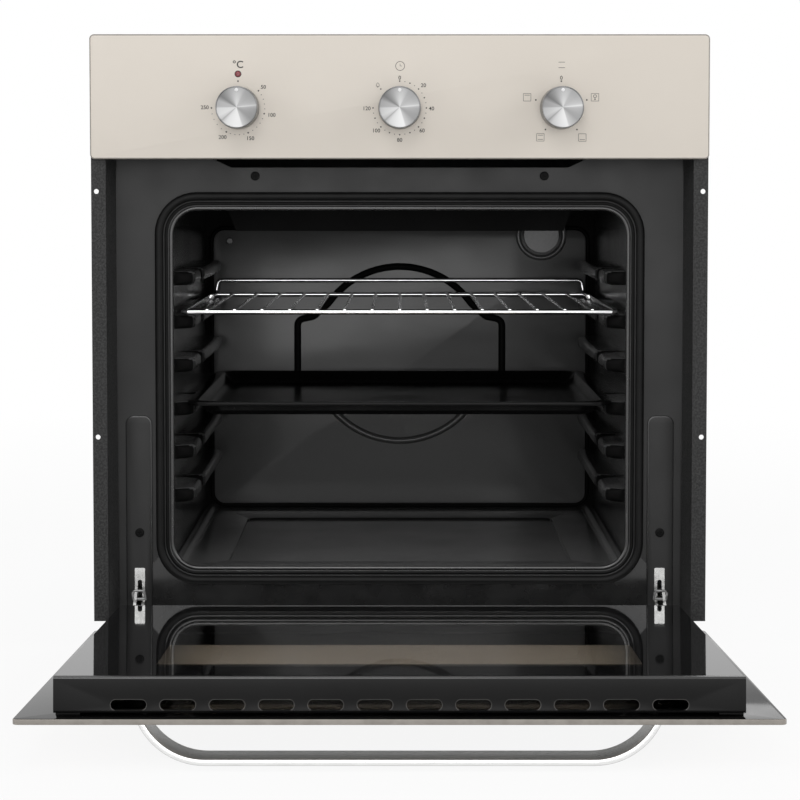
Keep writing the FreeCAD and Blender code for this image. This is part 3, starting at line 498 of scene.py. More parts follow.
lip = outline_wire("mouth_lip", MOUTH, -0.0006, FRONT + 0.0008, 0.0022, MOUTH_ROUND)
step = outline_wire("mouth_step", MOUTH, 0.0042, FRONT + 0.0018, 0.0026)
face = join("front_face", [face, lip, step])

stove_paint = finish("satin_stove_paint", 0.42, 0.021, 0.027, (9, 5), shine=0.28, sheen=(26, 4, 0.36, 0.48),
                     relief=(900, 2, 0.08, 0.0002))
fit_piece(face, stove_paint, "carcass", "black_paint", "front_frame")
gloss_paint = finish("glossy_fold", 0.16, 0.016, 0.026, (40, 4), shine=0.7, sheen=(30, 4, 0.12, 0.22))


def on_fold(middle, normal):
    """True on the rolled edge of the mouth and on the bevels of the raised hinge strips."""
    return abs(beyond(middle, MOUTH)) < 0.0035 or (middle.y < FRONT - 0.0002 and abs(normal.y) < 0.97)


def on_step(middle, normal):
    """True on the step pressed round the mouth."""
    return 0.0017 < beyond(middle, MOUTH) < 0.0068 and abs(middle.y - FRONT) > 0.00002


second_finish(face, gloss_paint, on_fold)
# The step round the mouth, between the gasket and the lip, is painted near black: painted shade in the recess
# there.
painted_shade_step = finish("pressed_step_painted_shade", 0.5, 0.003, 0.006, (60, 4), shine=0.1)
second_finish(face, painted_shade_step, on_step)
# Painted shade: the front edges of the casing sides, seen in the gap beside the frame, and the inside of the
# back cover, seen through the vent notch, take the black stove paint where only shade falls.
for wall in casing_sides:
    second_finish(wall, stove_paint, lambda middle, normal: middle.y < FRONT + 0.006)
second_finish(cover, stove_paint, lambda middle, normal: normal.y < -0.9)

black_screw = finish("blackened_screw", 0.55, 0.003, 0.007, (400,), shine=0.1)
upper = [(x, FRONT, 0.4595) for x in (-0.1416, 0.1416)]
lower = [(x, FRONT - 0.0017, 0.108) for x in (-HINGE_X, HINGE_X)]
frame_heads = screws("frame_screw_heads", 0.0044, 0.0019, upper + lower, "front")
fit_piece(frame_heads, black_screw, "carcass", "black_paint", "frame_screws")

# Door gasket: a black silicone bead pushed onto the frame round the mouth, with rounded corners.
# The closed door presses on it.
bead = outline_wire("gasket_bead", MOUTH, 0.01105, FRONT - 0.0018, 0.0042, sides=4)
silicone = finish("black_silicone", 0.5, 0.004, 0.007, (60, 4), shine=0.16, relief=(700, 3, 0.12, 0.0003))
fit_piece(bead, silicone, "carcass", "gasket", "door_gasket")

# Side trims: folded steel strips at both edges, in rough black powder paint, that screw to the
# cabinet through two holes each.
powder_paint = finish("rough_powder_paint", 0.55, 0.012, 0.036, (500,), shine=0.3, span=(0.4, 0.62),
                      relief=(700, 3, 0.5, 0.0006))
dress(powder_paint, "side_trim_left", "side_trim_right")

# Cavity: pressed steel sheets welded into a box and fired with glossy black enamel. The side walls
# carry pressed ribs for shelves, the back wall has a raised field and the floor a shallow pan.
cavity_low, cavity_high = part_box("cavity_back")
BACK = cavity_low[Y]
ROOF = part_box("cavity_roof")[0][Z]
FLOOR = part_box("cavity_floor")[1][Z]
RIB_TOPS = [0.1466 + 0.0436 * level for level in range(6)]
RIB_REACH, RIB_TALL = 0.02, 0.014
RIB_SPANS = ((-0.2235, -0.137), (-0.122, 0.1185))
FIELD, FIELD_PROUD = (0.2175, 0.0785, 0.4, 0.014), 0.004
RING_Z, RING, BEAD = 0.255, 0.1015, 0.0042
LAMP_X, LAMP_Z, LAMP_RING = 0.164, 0.393, 0.0265
PAN_SIDE, PAN_FRONT, PAN_REAR, PAN_DEEP, PAN_ROUND = 0.1715, -0.2265, 0.0575, 0.0022, 0.012
BEND_IN, BEND_UP, BEND_RADIUS = 0.006, 0.001, 0.008


def fired_enamel(name, dark, light, shine, smoothest=0.14, roughest=0.26):
    """Glossy enamel with fine pale specks and the slight waves of fired glass."""
    return finish(name, 0.2, dark, light, (1400, 1), shine=shine, span=(0.5, 0.78),
                  sheen=(12, 4, smoothest, roughest), relief=(45, 3, 0.1, 0.0012))


# One black enamel in three tones: the lighter copy on the back wall, floor and rib tops is painted light, and
# the near-black copy on the roof, deflector, rib noses, folds and pan rear is painted shade.
enamel = fired_enamel("black_enamel", 0.04, (0.065, 0.065, 0.0655), 0.5)
painted_light_enamel = fired_enamel("black_enamel_painted_light", 0.095, (0.12, 0.12, 0.121), 0.4)
painted_shade_enamel = fired_enamel("black_enamel_painted_shade", 0.004, 0.008, 0.05, 0.5, 0.65)

for side, sign in SIDES:
    inner, outer = sign * MOUTH_SIDE, sign * (MOUTH_SIDE + SHEET)
    reach = inner - sign * RIB_REACH
    parts = [block("wall", (min(inner, outer), FRONT + SHEET, FLOOR), (max(inner, outer), BACK, ROOF))]
    for top in RIB_TOPS:
        for front, rear in RIB_SPANS:
            rib = block("rib", (min(inner, reach), front, top - RIB_TALL), (max(inner, reach), rear, top))
            round_edges(rib, 0.0165, 6, lambda a, b: abs((a - b).z) > 0.01 and abs(a.x - reach) < 1e-4)
            round_edges(rib, 0.005, 4, lambda a, b: abs((a - b).z) < 1e-4
                        and abs(a.x - inner) + abs(b.x - inner) > 0.004)
            parts.append(rib)
    wall = join(f"cavity_side_{side}", parts)
    smooth(wall, 40)
    fit_piece(wall, enamel, "carcass", "enamel", f"cavity_wall_{side}")
    # The rib tops take the lighter enamel, a painted highlight where light falls on them, and the faces
    # towards the front take the near-black one, painted shade.
    second_finish(wall, painted_light_enamel, lambda middle, normal: normal.z > 0.5)
    second_finish(wall, painted_shade_enamel, lambda middle, normal: normal.y < -0.4)


def on_field(x, z):
    """A point on the face of the raised field."""
    return (x, BACK - FIELD_PROUD, z)


def ring_point(angle):
    return on_field(RING * math.cos(math.radians(angle)), RING_Z + RING * math.sin(math.radians(angle)))


back_sheet = block("back_sheet", cavity_low, cavity_high)
back_field = upright("back_field", FIELD, BACK - FIELD_PROUD, BACK + 0.0006)
round_edges(back_field, 0.003, 3, ahead_of(BACK - 0.003))
shoulder = [ring_point(angle) for angle in range(90, 34, -5)]
leg = bent([shoulder[-1], on_field(0.1, 0.2985), on_field(0.1187, 0.2945), on_field(0.1187, 0.226),
            ring_point(-28)], 0.008, 5)
lower_arc = [ring_point(angle) for angle in range(-32, -94, -6)]
half = [Vector(point) for point in shoulder[:-1] + leg + lower_arc]
other = [Vector((-point.x, point.y, point.z)) for point in reversed(half)]
bead_loop = wire("back_bead", half + other[1:-1], BEAD, closed=True)
lamp_circle = [(LAMP_X + LAMP_RING * math.cos(a * math.pi / 18), BACK - 0.0036,
                LAMP_Z + LAMP_RING * math.sin(a * math.pi / 18)) for a in range(36)]
lamp_groove = wire("lamp_bead", lamp_circle, 0.0032, closed=True)
field_fold = outline_wire("field_fold", FIELD, 0.0012, BACK - 0.0004, 0.0024, steps=6)
rivet = screws("rivet", 0.0042, 0.002, [on_field(-0.1975, 0.3862)], "front")
back_wall = join("cavity_rear", [back_sheet, back_field, field_fold, bead_loop, lamp_groove, rivet])
smooth(back_wall, 40)
# The back wall takes the lighter enamel: painted light.
fit_piece(back_wall, painted_light_enamel, "carcass", "enamel", "cavity_back")


def on_field_bevel(middle, normal):
    return -0.0032 < beyond(middle, FIELD) < 0.0001 and -0.95 < normal.y < -0.3


def on_painted_shade(middle, normal):
    """True on the fold round the raised field, the sheet outside it and the upper bead, which are painted
    shade.
    """
    on_fold_bead = -0.0012 < beyond(middle, FIELD) < 0.0046 and middle.y > BACK - 0.0031
    on_sheet = middle.y > BACK - 0.0001 and normal.y < -0.9
    on_upper_bead = middle.y < BACK - 0.0045 and middle.z > RING_Z - 0.04 and abs(middle.x) < 0.13
    return on_fold_bead or on_sheet or on_upper_bead


second_finish(back_wall, gloss_paint, on_field_bevel)
second_finish(back_wall, painted_shade_enamel, on_painted_shade)

floor_sheet = block("floor_sheet", *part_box("cavity_floor"))
floor_border = block("floor_border", (-MOUTH_SIDE, FRONT + 0.003, FLOOR - 0.0006),
                     (MOUTH_SIDE, BACK, FLOOR + PAN_DEEP))
cut_out(floor_border, rounded_block("pan_cutter", (-PAN_SIDE, PAN_FRONT, FLOOR - CUT),
                                    (PAN_SIDE, PAN_REAR, FLOOR + CUT), Z, PAN_ROUND))


def on_pan_rim(a, b):
    """True for the upper edges of the pressed pan."""
    return all(point.z > FLOOR + PAN_DEEP - 0.0001 and abs(point.x) < PAN_SIDE + 0.0001
               and PAN_FRONT - 0.0001 < point.y < PAN_REAR + 0.0001 for point in (a, b))


def on_pan_rear(middle, normal):
    return normal.y < -0.4 and PAN_REAR - 0.013 < middle.y < PAN_REAR + 0.002


def on_pan_side(middle, normal):
    return PAN_SIDE - 0.001 < abs(middle.x) < PAN_SIDE + 0.0015 and abs(normal.x) > 0.3 and normal.z < 0.99


round_edges(floor_border, 0.0009, 2, on_pan_rim)
bend_x = MOUTH_SIDE - BEND_IN
bend_path = [(-bend_x, FRONT + 0.003, FLOOR + BEND_UP), (-bend_x, BACK, FLOOR + BEND_UP)]
corner_left = wire("floor_bend", bend_path, BEND_RADIUS)
corner_right = copy_to(corner_left, (2 * bend_x, 0, 0))
floor_wall = join("cavity_bottom", [floor_sheet, floor_border, corner_left, corner_right])
smooth(floor_wall, 40)
# The floor takes the lighter enamel, painted light, and the pan's rear edge the near-black one, painted
# shade.
fit_piece(floor_wall, painted_light_enamel, "carcass", "enamel", "cavity_floor")
second_finish(floor_wall, painted_shade_enamel, on_pan_rear)
second_finish(floor_wall, gloss_paint, on_pan_side)
# The roof and the deflector take the near-black enamel: painted shade under the top of the mouth.
dress(painted_shade_enamel, "cavity_roof", "roof_deflector")

# Heating elements and insulation: bent tubes of dark steel, one under the roof and one under the
# floor, and mats of yellow glass wool round the cavity.
element_steel = finish("scaled_steel", 0.45, (0.05, 0.047, 0.045), (0.16, 0.15, 0.14), (60, 5), metal=0.9,
                       relief=(900, 3, 0.2, 0.0002))
dress(element_steel, "top_element", "bottom_element")
glass_wool = finish("glass_wool", 0.95, (0.45, 0.38, 0.16), (0.75, 0.68, 0.42), (220, 6, (1, 1, 0.3)),
                    relief=(300, 5, 0.8, 0.002))
dress(glass_wool, "insulation_wrap", "insulation_back")

# Oven lamp: a pressed glass cover over the bulb, at the top right of the back wall. Its holder is of
# pale ceramic, like the bodies of the switches.
dress(finish("frosted_lamp_glass", 0.22, (0.02, 0.02, 0.021), (0.035, 0.035, 0.036), (300,)), "lamp_cover")
lamp_mould = finish("pale_ceramic", 0.5, (0.62, 0.6, 0.55), (0.7, 0.68, 0.63), (200, 4),
                    relief=(500, 3, 0.1, 0.0002))
dress(lamp_mould, "lamp_holder", "terminal_block", "thermostat", "timer_unit", "function_switch")
dress(finish("clear_bulb", 0.08, (0.75, 0.74, 0.7), (0.8, 0.79, 0.75), (100,)), "lamp_bulb")

# Control panel: a steel strip in gloss cream enamel paint, with rounded corners and soft edges,
# clipped over its bracket. The dials are screen printed on it in thin dark ink.
panel_low, panel_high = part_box("control_panel")
FACE = panel_low[Y]
INK_FRONT, INK_BACK = FACE - 0.00012, FACE + 0.00005
KNOB_Z, KNOB_STEP, DIAL = 0.5245, 0.155, 0.0256
FIGURE, LINE, BAR, BAR_LONG = 0.0051, 0.00042, 0.0005, 0.005
DOT, CLOCK_DOT, TICK = 0.0008, 0.0007, 0.00042

panel = rounded_block("panel_front", panel_low, panel_high, Y, 0.0045)
round_edges(panel, 0.0013, 3, ahead_of(FACE + 0.0001))
smooth(panel, 40)
cream_paint = finish("cream_gloss_paint", 0.36, (0.70, 0.645, 0.575), (0.725, 0.67, 0.6), (6, 4), shine=0.35,
                     sheen=(40, 4, 0.34, 0.42), relief=(350, 2, 0.04, 0.0002))
fit_piece(panel, cream_paint, "carcass", "cream", "control_panel")
# The bevel round the panel's face is painted a darker tan: painted shade on the edge that turns from the
# light.
darker_edge = finish("darker_cream_edge", 0.4, (0.24, 0.22, 0.195), (0.32, 0.295, 0.265), (90, 4))
second_finish(panel, darker_edge, lambda middle, normal: normal.y > -0.98)


def disc(name, x, z, radius, front, rear, sides):
    """A round plug that faces the front."""
    bpy.ops.mesh.primitive_cylinder_add(vertices=sides, radius=radius, depth=rear - front,
                                        location=(x, (front + rear) / 2, z), rotation=FACING["front"])
    return settled(name)


def ink_dot(x, z, radius):
    return disc("ink_dot", x, z, radius, INK_FRONT, INK_BACK, 14)


def ink_line(x, z, wide, tall):
    return block("ink_line", (x - wide / 2, INK_FRONT, z - tall / 2), (x + wide / 2, INK_BACK, z + tall / 2))


def ink_text(words, x, z, size):
    """Printed figures, centred on a place."""
    bpy.ops.object.text_add(location=(x, INK_FRONT, z), rotation=FACING["front"])
    figures = bpy.context.object.data
    figures.body = words
    figures.size = size
    figures.align_x = "CENTER"
    figures.align_y = "CENTER"
    figures.space_character = 1.02
    figures.offset = size * 0.012
    bpy.ops.object.convert(target="MESH")
    return settled("ink_text")


def ink_square(x, z, size):
    half = size / 2
    return [ink_line(x, z + half, size, LINE), ink_line(x, z - half, size, LINE),
            ink_line(x - half, z, LINE, size), ink_line(x + half, z, LINE, size)]


def ink_ring(name, x, z, radius, thick):
    bpy.ops.mesh.primitive_torus_add(location=(x, FACE, z), rotation=FACING["front"], major_radius=radius,
                                     minor_radius=thick / 2, major_segments=32, minor_segments=6)
    bpy.ops.transform.resize(value=(1, 0.3, 1))
    return settled(name)


def dial_dots(middle, angles, size):
    """Dots round a knob, by their angle clockwise from the top in degrees."""
    turns = [math.radians(angle) for angle in angles]
    return [ink_dot(middle + DIAL * math.sin(turn), KNOB_Z + DIAL * math.cos(turn), size) for turn in turns]


def dial_figures(middle, figures):
    return [ink_text(words, middle + x, KNOB_Z + z, FIGURE) for words, x, z in figures]


heat, clock, mode = -KNOB_STEP, 0.0, KNOB_STEP
heat_marks = [50, 102.4, 158, 206.5, 270]
heat_ticks = [a + (b - a) * k / 5 for a, b in zip(heat_marks, heat_marks[1:]) for k in range(1, 5)]
print_dark = dial_dots(heat, [0] + heat_marks, DOT) + dial_dots(heat, heat_ticks, TICK)
print_dark += dial_figures(heat, (("50", 0.0243, 0.0199), ("100", 0.0321, -0.0069), ("150", 0.0116, -0.0292),
                                  ("200", -0.015, -0.0281), ("250", -0.032, 0.0004)))
print_dark.append(ink_text("°C", heat, KNOB_Z + 0.0412, 0.0096))
print_dark += dial_dots(clock, [22.5 * k for k in range(13)] + [315], CLOCK_DOT)
print_dark += dial_dots(clock, [22.5 * k + 11.25 for k in range(12)], TICK)
print_dark += dial_figures(clock, (("0", 0, 0.0287), ("20", 0.0228, 0.0215), ("40", 0.0306, -0.0007),
                                   ("60", 0.0215, -0.0218), ("80", 0, -0.0308), ("100", -0.0226, -0.0218),
                                   ("120", -0.0317, -0.0006)))
print_dark += dial_dots(mode, [0, 72.6, 143.8, 216.2, 287.4], DOT)
print_dark += dial_figures(mode, [("0", 0, 0.0287)])

print_light = [ink_ring("clock_ring", clock + 0.0004, KNOB_Z + 0.0401, 0.0043, 0.0006)]
print_light += [ink_line(clock + 0.0004, KNOB_Z + 0.0412, LINE, 0.0022),
                ink_line(clock + 0.0013, KNOB_Z + 0.0401, 0.0018, LINE)]
bell_x, bell_z = clock - 0.021, KNOB_Z + 0.0221
bell_side = [(-0.002, -0.0014), (-0.0013, -0.0006), (-0.0012, 0.0008), (0, 0.0022)]
bell_shape = bell_side + [(-x, z) for x, z in reversed(bell_side[:-1])]
bell_path = bent([(bell_x + x, FACE, bell_z + z) for x, z in bell_shape], 0.0004, 3, closed=True)
print_light.append(wire("bell", bell_path, 0.00022, closed=True, sides=1))
print_light.append(ink_dot(bell_x, bell_z - 0.0021, 0.0005))
for x, z in ((-0.0328, 0.0102), (0.0323, 0.0102), (-0.02, -0.0281), (0.0203, -0.0283)):
    print_light += ink_square(mode + x, KNOB_Z + z, 0.0072)
for x, z, wide, tall in ((0.0003, 0.0437, 0.0062, BAR), (0.0003, 0.0385, 0.0062, BAR),
                         (-0.0328, 0.0122, BAR_LONG, BAR), (-0.02, -0.0261, BAR_LONG, BAR),
                         (-0.02, -0.0301, BAR_LONG, BAR), (0.0203, -0.0303, BAR_LONG, BAR),
                         (0.0323, 0.0083, 0.0012, 0.0014)):
    print_light.append(ink_line(mode + x, KNOB_Z + z, wide, tall))
print_light.append(ink_ring("lamp_ring", mode + 0.0323, KNOB_Z + 0.0112, 0.0014, 0.0006))

dark_ink = finish("dark_print", 0.5, (0.022, 0.02, 0.018), (0.04, 0.036, 0.032), (1500,))
fit_piece(join("dial_print", print_dark), dark_ink, "carcass", "cream")
light_ink = finish("fine_line_print", 0.5, (0.1, 0.09, 0.08), (0.15, 0.135, 0.12), (1500,))
fit_piece(join("symbol_print", print_light), light_ink, "carcass", "cream")

# Indicator: a small domed red lens in a dark collar, pushed through the panel over the left dial.
lens_low, lens_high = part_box("indicator_lens")
lens_x, lens_z = (lens_low[X] + lens_high[X]) / 2, (lens_low[Z] + lens_high[Z]) / 2
lens = disc("red_lens", lens_x, lens_z, 0.0027, lens_low[Y], lens_high[Y], 32)
round_edges(lens, 0.0011, 4, ahead_of(lens_low[Y] + 0.0001))
smooth(lens, 40)
red_lens = finish("red_lens", 0.2, (0.2, 0.02, 0.03), (0.27, 0.035, 0.045), (500,), Subsurface_Weight=0.1)
fit_piece(lens, red_lens, "carcass", "lens", "indicator_lens")
collar = ink_ring("lens_collar", lens_x, lens_z, 0.0029, 0.0008)
fit_piece(collar, dark_ink, "carcass", "lens")

# Knobs: turned aluminium caps pushed on flat shafts, with a spun face, a soft rim and a white dot near the
# edge. The rays of sheen on the face are painted into its colour: painted highlights and shade by angle, with
# the painted grey of the face at angles round it given in the table below.
PAINTED_RAYS = ((0, 0.58), (12, 0.58), (20, 0.54), (30, 0.44), (50, 0.42), (70, 0.46), (80, 0.52), (84, 0.68),
        (88, 0.47), (95, 0.38), (115, 0.31), (130, 0.29), (145, 0.37), (160, 0.46), (165, 0.66), (180, 0.64),
        (200, 0.6), (215, 0.56), (224, 0.45), (228, 0.32), (233, 0.47), (245, 0.57), (260, 0.55), (266, 0.56),
        (272, 0.39), (290, 0.4), (300, 0.27), (306, 0.21), (315, 0.26), (330, 0.37), (345, 0.49), (360, 0.58))
PAINTED_RAY_LEVEL = 0.7
KNOB_RADIUS, KNOB_TAPER, KNOB_WALL, KNOB_HOLLOW = 0.0205, 0.975, 0.0018, 0.009
DOT_RADIUS, DOT_RISE = 0.0017, 0.0165


def painted_ray_metal(name, middle):
    """Aluminium with painted highlights and shade, its colour running in rays round the middle of the knob.
    """
    metal = new_finish(name, 0.42, 1.0)
    tree = metal.node_tree
    centre = node(tree, "Mapping", {"Vector": node(tree, "TexCoord").outputs["Object"],
                                    "Location": (-middle, -KNOB_Z, 0), "Rotation": (-QUARTER, 0, 0)})
    split = node(tree, "SeparateXYZ", {"Vector": centre.outputs["Vector"]}).outputs
    turn = node(tree, "Math", {0: split["X"], 1: split["Y"]}, "ARCTAN2")
    share = node(tree, "Math", {0: turn.outputs[0], 1: 2 * math.pi}, "DIVIDE")
    wrap = node(tree, "Math", {0: share.outputs[0]}, "FRACT")
    ramp = node(tree, "ValToRGB", {"Fac": wrap.outputs[0]})
    stops = ramp.color_ramp.elements
    for angle, grey in PAINTED_RAYS[1:-1]:
        stops.new(angle / 360)
    for stop, (angle, grey) in zip(stops, PAINTED_RAYS):
        stop.position = angle / 360
        stop.color = colour(grey * PAINTED_RAY_LEVEL)
    set_shader(metal, {"Base Color": ramp.outputs["Color"]})
    bumps(metal, grain(metal, 1500, 2, (1, 0.1, 1)), 0.05, 0.0001)
    return metal


turned_side = finish("turned_side", 0.35, 0.2, 0.32, (300, 3, (1, 8, 1)), metal=1.0)
white_fill = finish("white_fill", 0.4, 0.82, 0.9, (900,))
for name, middle in (("temperature", heat), ("timer", clock), ("function", mode)):
    knob_low, knob_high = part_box(f"{name}_knob")
    knob = disc(f"{name}_cap", middle, KNOB_Z, KNOB_RADIUS, knob_low[Y], knob_high[Y], 96)
    pick_faces(knob, lambda centre, normal: normal.y < -0.9)
    bpy.ops.transform.resize(value=(KNOB_TAPER, 1, KNOB_TAPER))
    bpy.ops.mesh.inset(thickness=0.0007, depth=0.0006)
    bpy.ops.mesh.inset(thickness=0.0003, depth=-0.0004)
    bpy.ops.transform.translate(value=(0, 0.0006, 0))
    done()
    pick_faces(knob, lambda centre, normal: normal.y > 0.9)
    bpy.ops.mesh.inset(thickness=KNOB_WALL, depth=0)
    bpy.ops.mesh.extrude_region_move(TRANSFORM_OT_translate={"value": (0, -KNOB_HOLLOW, 0)})
    done()
    round_edges(knob, 0.0004, 2, ahead_of(knob_low[Y] + 0.0012))
    smooth(knob, 30)
    painted_ray_finish = painted_ray_metal(f"painted_ray_aluminium_{name}", middle)
    fit_piece(knob, painted_ray_finish, f"{name}_control", "knob_metal", f"{name}_knob")
    second_finish(knob, turned_side, lambda centre, normal: normal.y > -0.9)
    bpy.ops.mesh.primitive_uv_sphere_add(segments=20, ring_count=10, radius=DOT_RADIUS,
                                         location=(middle, knob_low[Y] + 0.0004, KNOB_Z + DOT_RISE))
    bpy.ops.transform.resize(value=(1, 0.25, 1))
    dot = settled(f"{name}_dot")
    smooth(dot, 60)
    fit_piece(dot, white_fill, f"{name}_control", "knob_metal")

plated_steel = finish("zinc_plated_steel", 0.3, (0.6, 0.6, 0.59), (0.76, 0.76, 0.75), (120, 4), metal=1.0,
                      sheen=(300, 3, 0.22, 0.36))
dress(plated_steel, "temperature_shaft", "timer_shaft", "function_shaft")

# Hinges: zinc plated steel plates in the frame, slotted for the arms, with two cheeks that hold the
# riveted pin, and a small wire bail over each that locks it for taking the door off.
HINGE_Y, HINGE_Z = FACE + 0.009, 0.0215
EYE, RECEIVER_LOW, CHEEK, CHEEK_HIGH = 0.0042, 0.0357, 0.0028, 0.068
ARM_HALF, ARM_HIGH = 0.0022, 0.0612
BAIL_HALF, BAIL_LONG, BAIL_TURN, PIVOT_PROUD = 0.0062, 0.014, math.pi / 4, 0.0006


def hinge_cheek(name, low_x, top):
    """A steel cheek behind the frame that narrows in front of it towards the hinge pin."""
    high_x = low_x + CHEEK
    nose = block("cheek_nose", (low_x, HINGE_Y, HINGE_Z - EYE), (high_x, FRONT, top))
    for rise, way in ((top - HINGE_Z - EYE, 1), (RECEIVER_LOW - HINGE_Z + EYE, -1)):
        edge = Vector((0, HINGE_Y, HINGE_Z + way * EYE))
        slope = Vector((0, -way * rise, way * (FRONT - HINGE_Y)))
        pick_faces(nose, lambda middle, normal: True)
        bpy.ops.mesh.bisect(plane_co=edge, plane_no=slope, use_fill=True, clear_outer=True)
        done()
    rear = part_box("hinge_receiver_left")[1][Y]
    tail = block("cheek_tail", (low_x, FRONT - 0.0004, RECEIVER_LOW), (high_x, rear, CHEEK_HIGH))
    return join(name, [nose, tail])


# The outer cheek's faces in front of the frame are painted a much lighter zinc: a painted highlight.
painted_highlight_zinc = finish("painted_highlight_zinc", 0.25, (0.84, 0.84, 0.83), (0.92, 0.92, 0.91), (90, 4), metal=1.0)
for side, sign in SIDES:
    low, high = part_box(f"hinge_receiver_{side}")
    plate = rounded_block(f"hinge_plate_{side}", (low[X], FRONT - 0.0025, RECEIVER_LOW),
                          (high[X], FRONT, high[Z]), Y, 0.0008, 2)
    middle = sign * HINGE_X
    slot = block("plate_slot", (middle - ARM_HALF, FRONT - CUT, RECEIVER_LOW - CUT),
                 (middle + ARM_HALF, FRONT + CUT, ARM_HIGH))
    round_edges(slot, 0.002, 4, lambda a, b: min(a.z, b.z) > 0.06 and abs((a - b).y) > 0.01)
    cut_out(plate, slot)
    outer_x, inner_x = (low[X], high[X] - CHEEK) if sign < 0 else (high[X] - CHEEK, low[X])
    cheeks = [hinge_cheek("outer_cheek", outer_x, 0.056), hinge_cheek("inner_cheek", inner_x, 0.044)]
    eyes = [wire("cheek_eye", [(x, HINGE_Y, HINGE_Z), (x + CHEEK, HINGE_Y, HINGE_Z)], EYE, sides=6)
            for x in (outer_x, inner_x)]
    plate = join(f"hinge_plate_{side}", [plate] + cheeks + eyes)
    smooth(plate, 30)
    fit_piece(plate, plated_steel, "carcass", "zinc", f"hinge_receiver_{side}")
    second_finish(plate, painted_highlight_zinc, lambda spot, normal: spot.y < FRONT - 0.003 and abs(spot.x) > HINGE_X)
dress(plated_steel, "hinge_pin_left", "hinge_pin_right", "hinge_arm_left", "hinge_arm_right")

bail_wire = finish("dark_spring_wire", 0.35, 0.16, 0.3, (200,), metal=1.0)
latch_y, latch_z = FACE + 0.034, 0.043
tip_y, tip_z = latch_y - BAIL_LONG * math.sin(BAIL_TURN), latch_z + BAIL_LONG * math.cos(BAIL_TURN)
for side, sign in SIDES:
    inside, outside = sign * HINGE_X - BAIL_HALF, sign * HINGE_X + BAIL_HALF
    route = bent([(inside, latch_y, latch_z), (inside, tip_y, tip_z), (outside, tip_y, tip_z),
                  (outside, latch_y, latch_z)], 0.003, 5)
    pivot_ends = [(inside - PIVOT_PROUD, latch_y, latch_z), (outside + PIVOT_PROUD, latch_y, latch_z)]
    bail = join(f"latch_bail_{side}", [wire("bail", route, 0.0013), wire("pivot", pivot_ends, 0.0015)])
    fit_piece(bail, bail_wire, f"latch_{side}", "zinc", f"hinge_latch_{side}")

# Outer door glass: toughened glass printed cream on its front, with a smoked window in the middle,
# and dark on its back outside the door's frame. Drawn closed, then swung open like every door piece.
DOOR_TURN = math.radians(86.9)
GLASS_BACK, INNER_SIDE = FACE + 0.0045, 0.267
GLASS, SIGHT = (0.2975, HINGE_Z, 0.471, 0.0045), (0.21, 0.24, 0.41, 0.012)
PRINT = (INNER_SIDE - 0.02, 0.135, 0.238, 0.01)


def swing(piece):
    """Turns a door piece from the closed place to the open one, about the hinge pins."""
    to_pins = Matrix.Translation((0, HINGE_Y, HINGE_Z))
    choose(piece)
    piece.matrix_world = to_pins @ Matrix.Rotation(DOOR_TURN, 4, "X") @ to_pins.inverted()
    settled(piece.name)


def on_back(middle, normal):
    return normal.y > 0.9


def on_rim(middle, normal):
    return abs(normal.y) < 0.9


cream_glass = finish("cream_printed_glass", 0.12, (0.60, 0.545, 0.475), (0.625, 0.57, 0.5), (8, 4),
                     Coat_Weight=0.6, Coat_Roughness=0.03)
smoked_glass = finish("smoked_window", 0.05, 0.008, 0.014, (7,))
dark_print = finish("dark_back_print", 0.08, 0.006, 0.011, (9,), sheen=(25, 3, 0.05, 0.09), IOR=1.12)

outer = upright("door_front_glass", GLASS, FACE, GLASS_BACK)
round_edges(outer, 0.0008, 3, lambda a, b: abs((a - b).y) < 0.0001)
cut_out(outer, upright("sight_cutter", SIGHT, FACE - CUT, GLASS_BACK + CUT))
smooth(outer, 40)
fit_piece(outer, cream_glass, "door", "cream_glass", "outer_glass")
second_finish(outer, dark_print, on_back)
# The glass's rim and the window's edges take the same darker tan.
second_finish(outer, darker_edge, on_rim)
swing(outer)

sight = upright("smoked_pane", SIGHT, FACE, GLASS_BACK)
fit_piece(sight, smoked_glass, "door", "cream_glass")
second_finish(sight, dark_print, on_back)
swing(sight)

backing = upright("cream_back_print", PRINT, GLASS_BACK - 0.0001, GLASS_BACK + 0.0004, 5)
warm_print = finish("warm_back_print", 0.5, (0.7, 0.6, 0.48), (0.76, 0.65, 0.53), (9, 4))
fit_piece(backing, warm_print, "door", "cream_glass")
swing(backing)

# Inner door glass: a dark printed pane that mirrors the cavity, with a clear window in the middle,
# held in the side channels by the top strip.
PANE_FRONT, PANE_BACK, INNER_LOW, STRIP_TOP = FACE + 0.0305, FACE + 0.0345, 0.0615, 0.463
PANE_TOP, WINDOW = STRIP_TOP - 0.0015, (0.195, 0.1, 0.4085, 0.008)
frit = block("inner_pane_print", (-INNER_SIDE, PANE_FRONT, INNER_LOW), (INNER_SIDE, PANE_BACK, PANE_TOP))
cut_out(frit, upright("window_cutter", WINDOW, PANE_FRONT - CUT, PANE_BACK + CUT, 5))
smooth(frit, 30)
mirror_print = finish("black_mirror_glass", 0.03, (0.004, 0.004, 0.0042), (0.008, 0.008, 0.0084), (10,),
                      sheen=(30, 3, 0.02, 0.05), IOR=1.34)
fit_piece(frit, mirror_print, "door", "dark_glass", "inner_glass")
swing(frit)
window = upright("inner_window", WINDOW, PANE_FRONT + 0.0002, PANE_BACK, 5)
clear_glass = finish("tinted_clear_glass", 0.01, (0.86, 0.85, 0.83), (0.9, 0.89, 0.87), (12, 2),
                     Transmission_Weight=1.0)
fit_piece(window, clear_glass, "door", "dark_glass")
second_finish(window, mirror_print, on_rim)
swing(window)

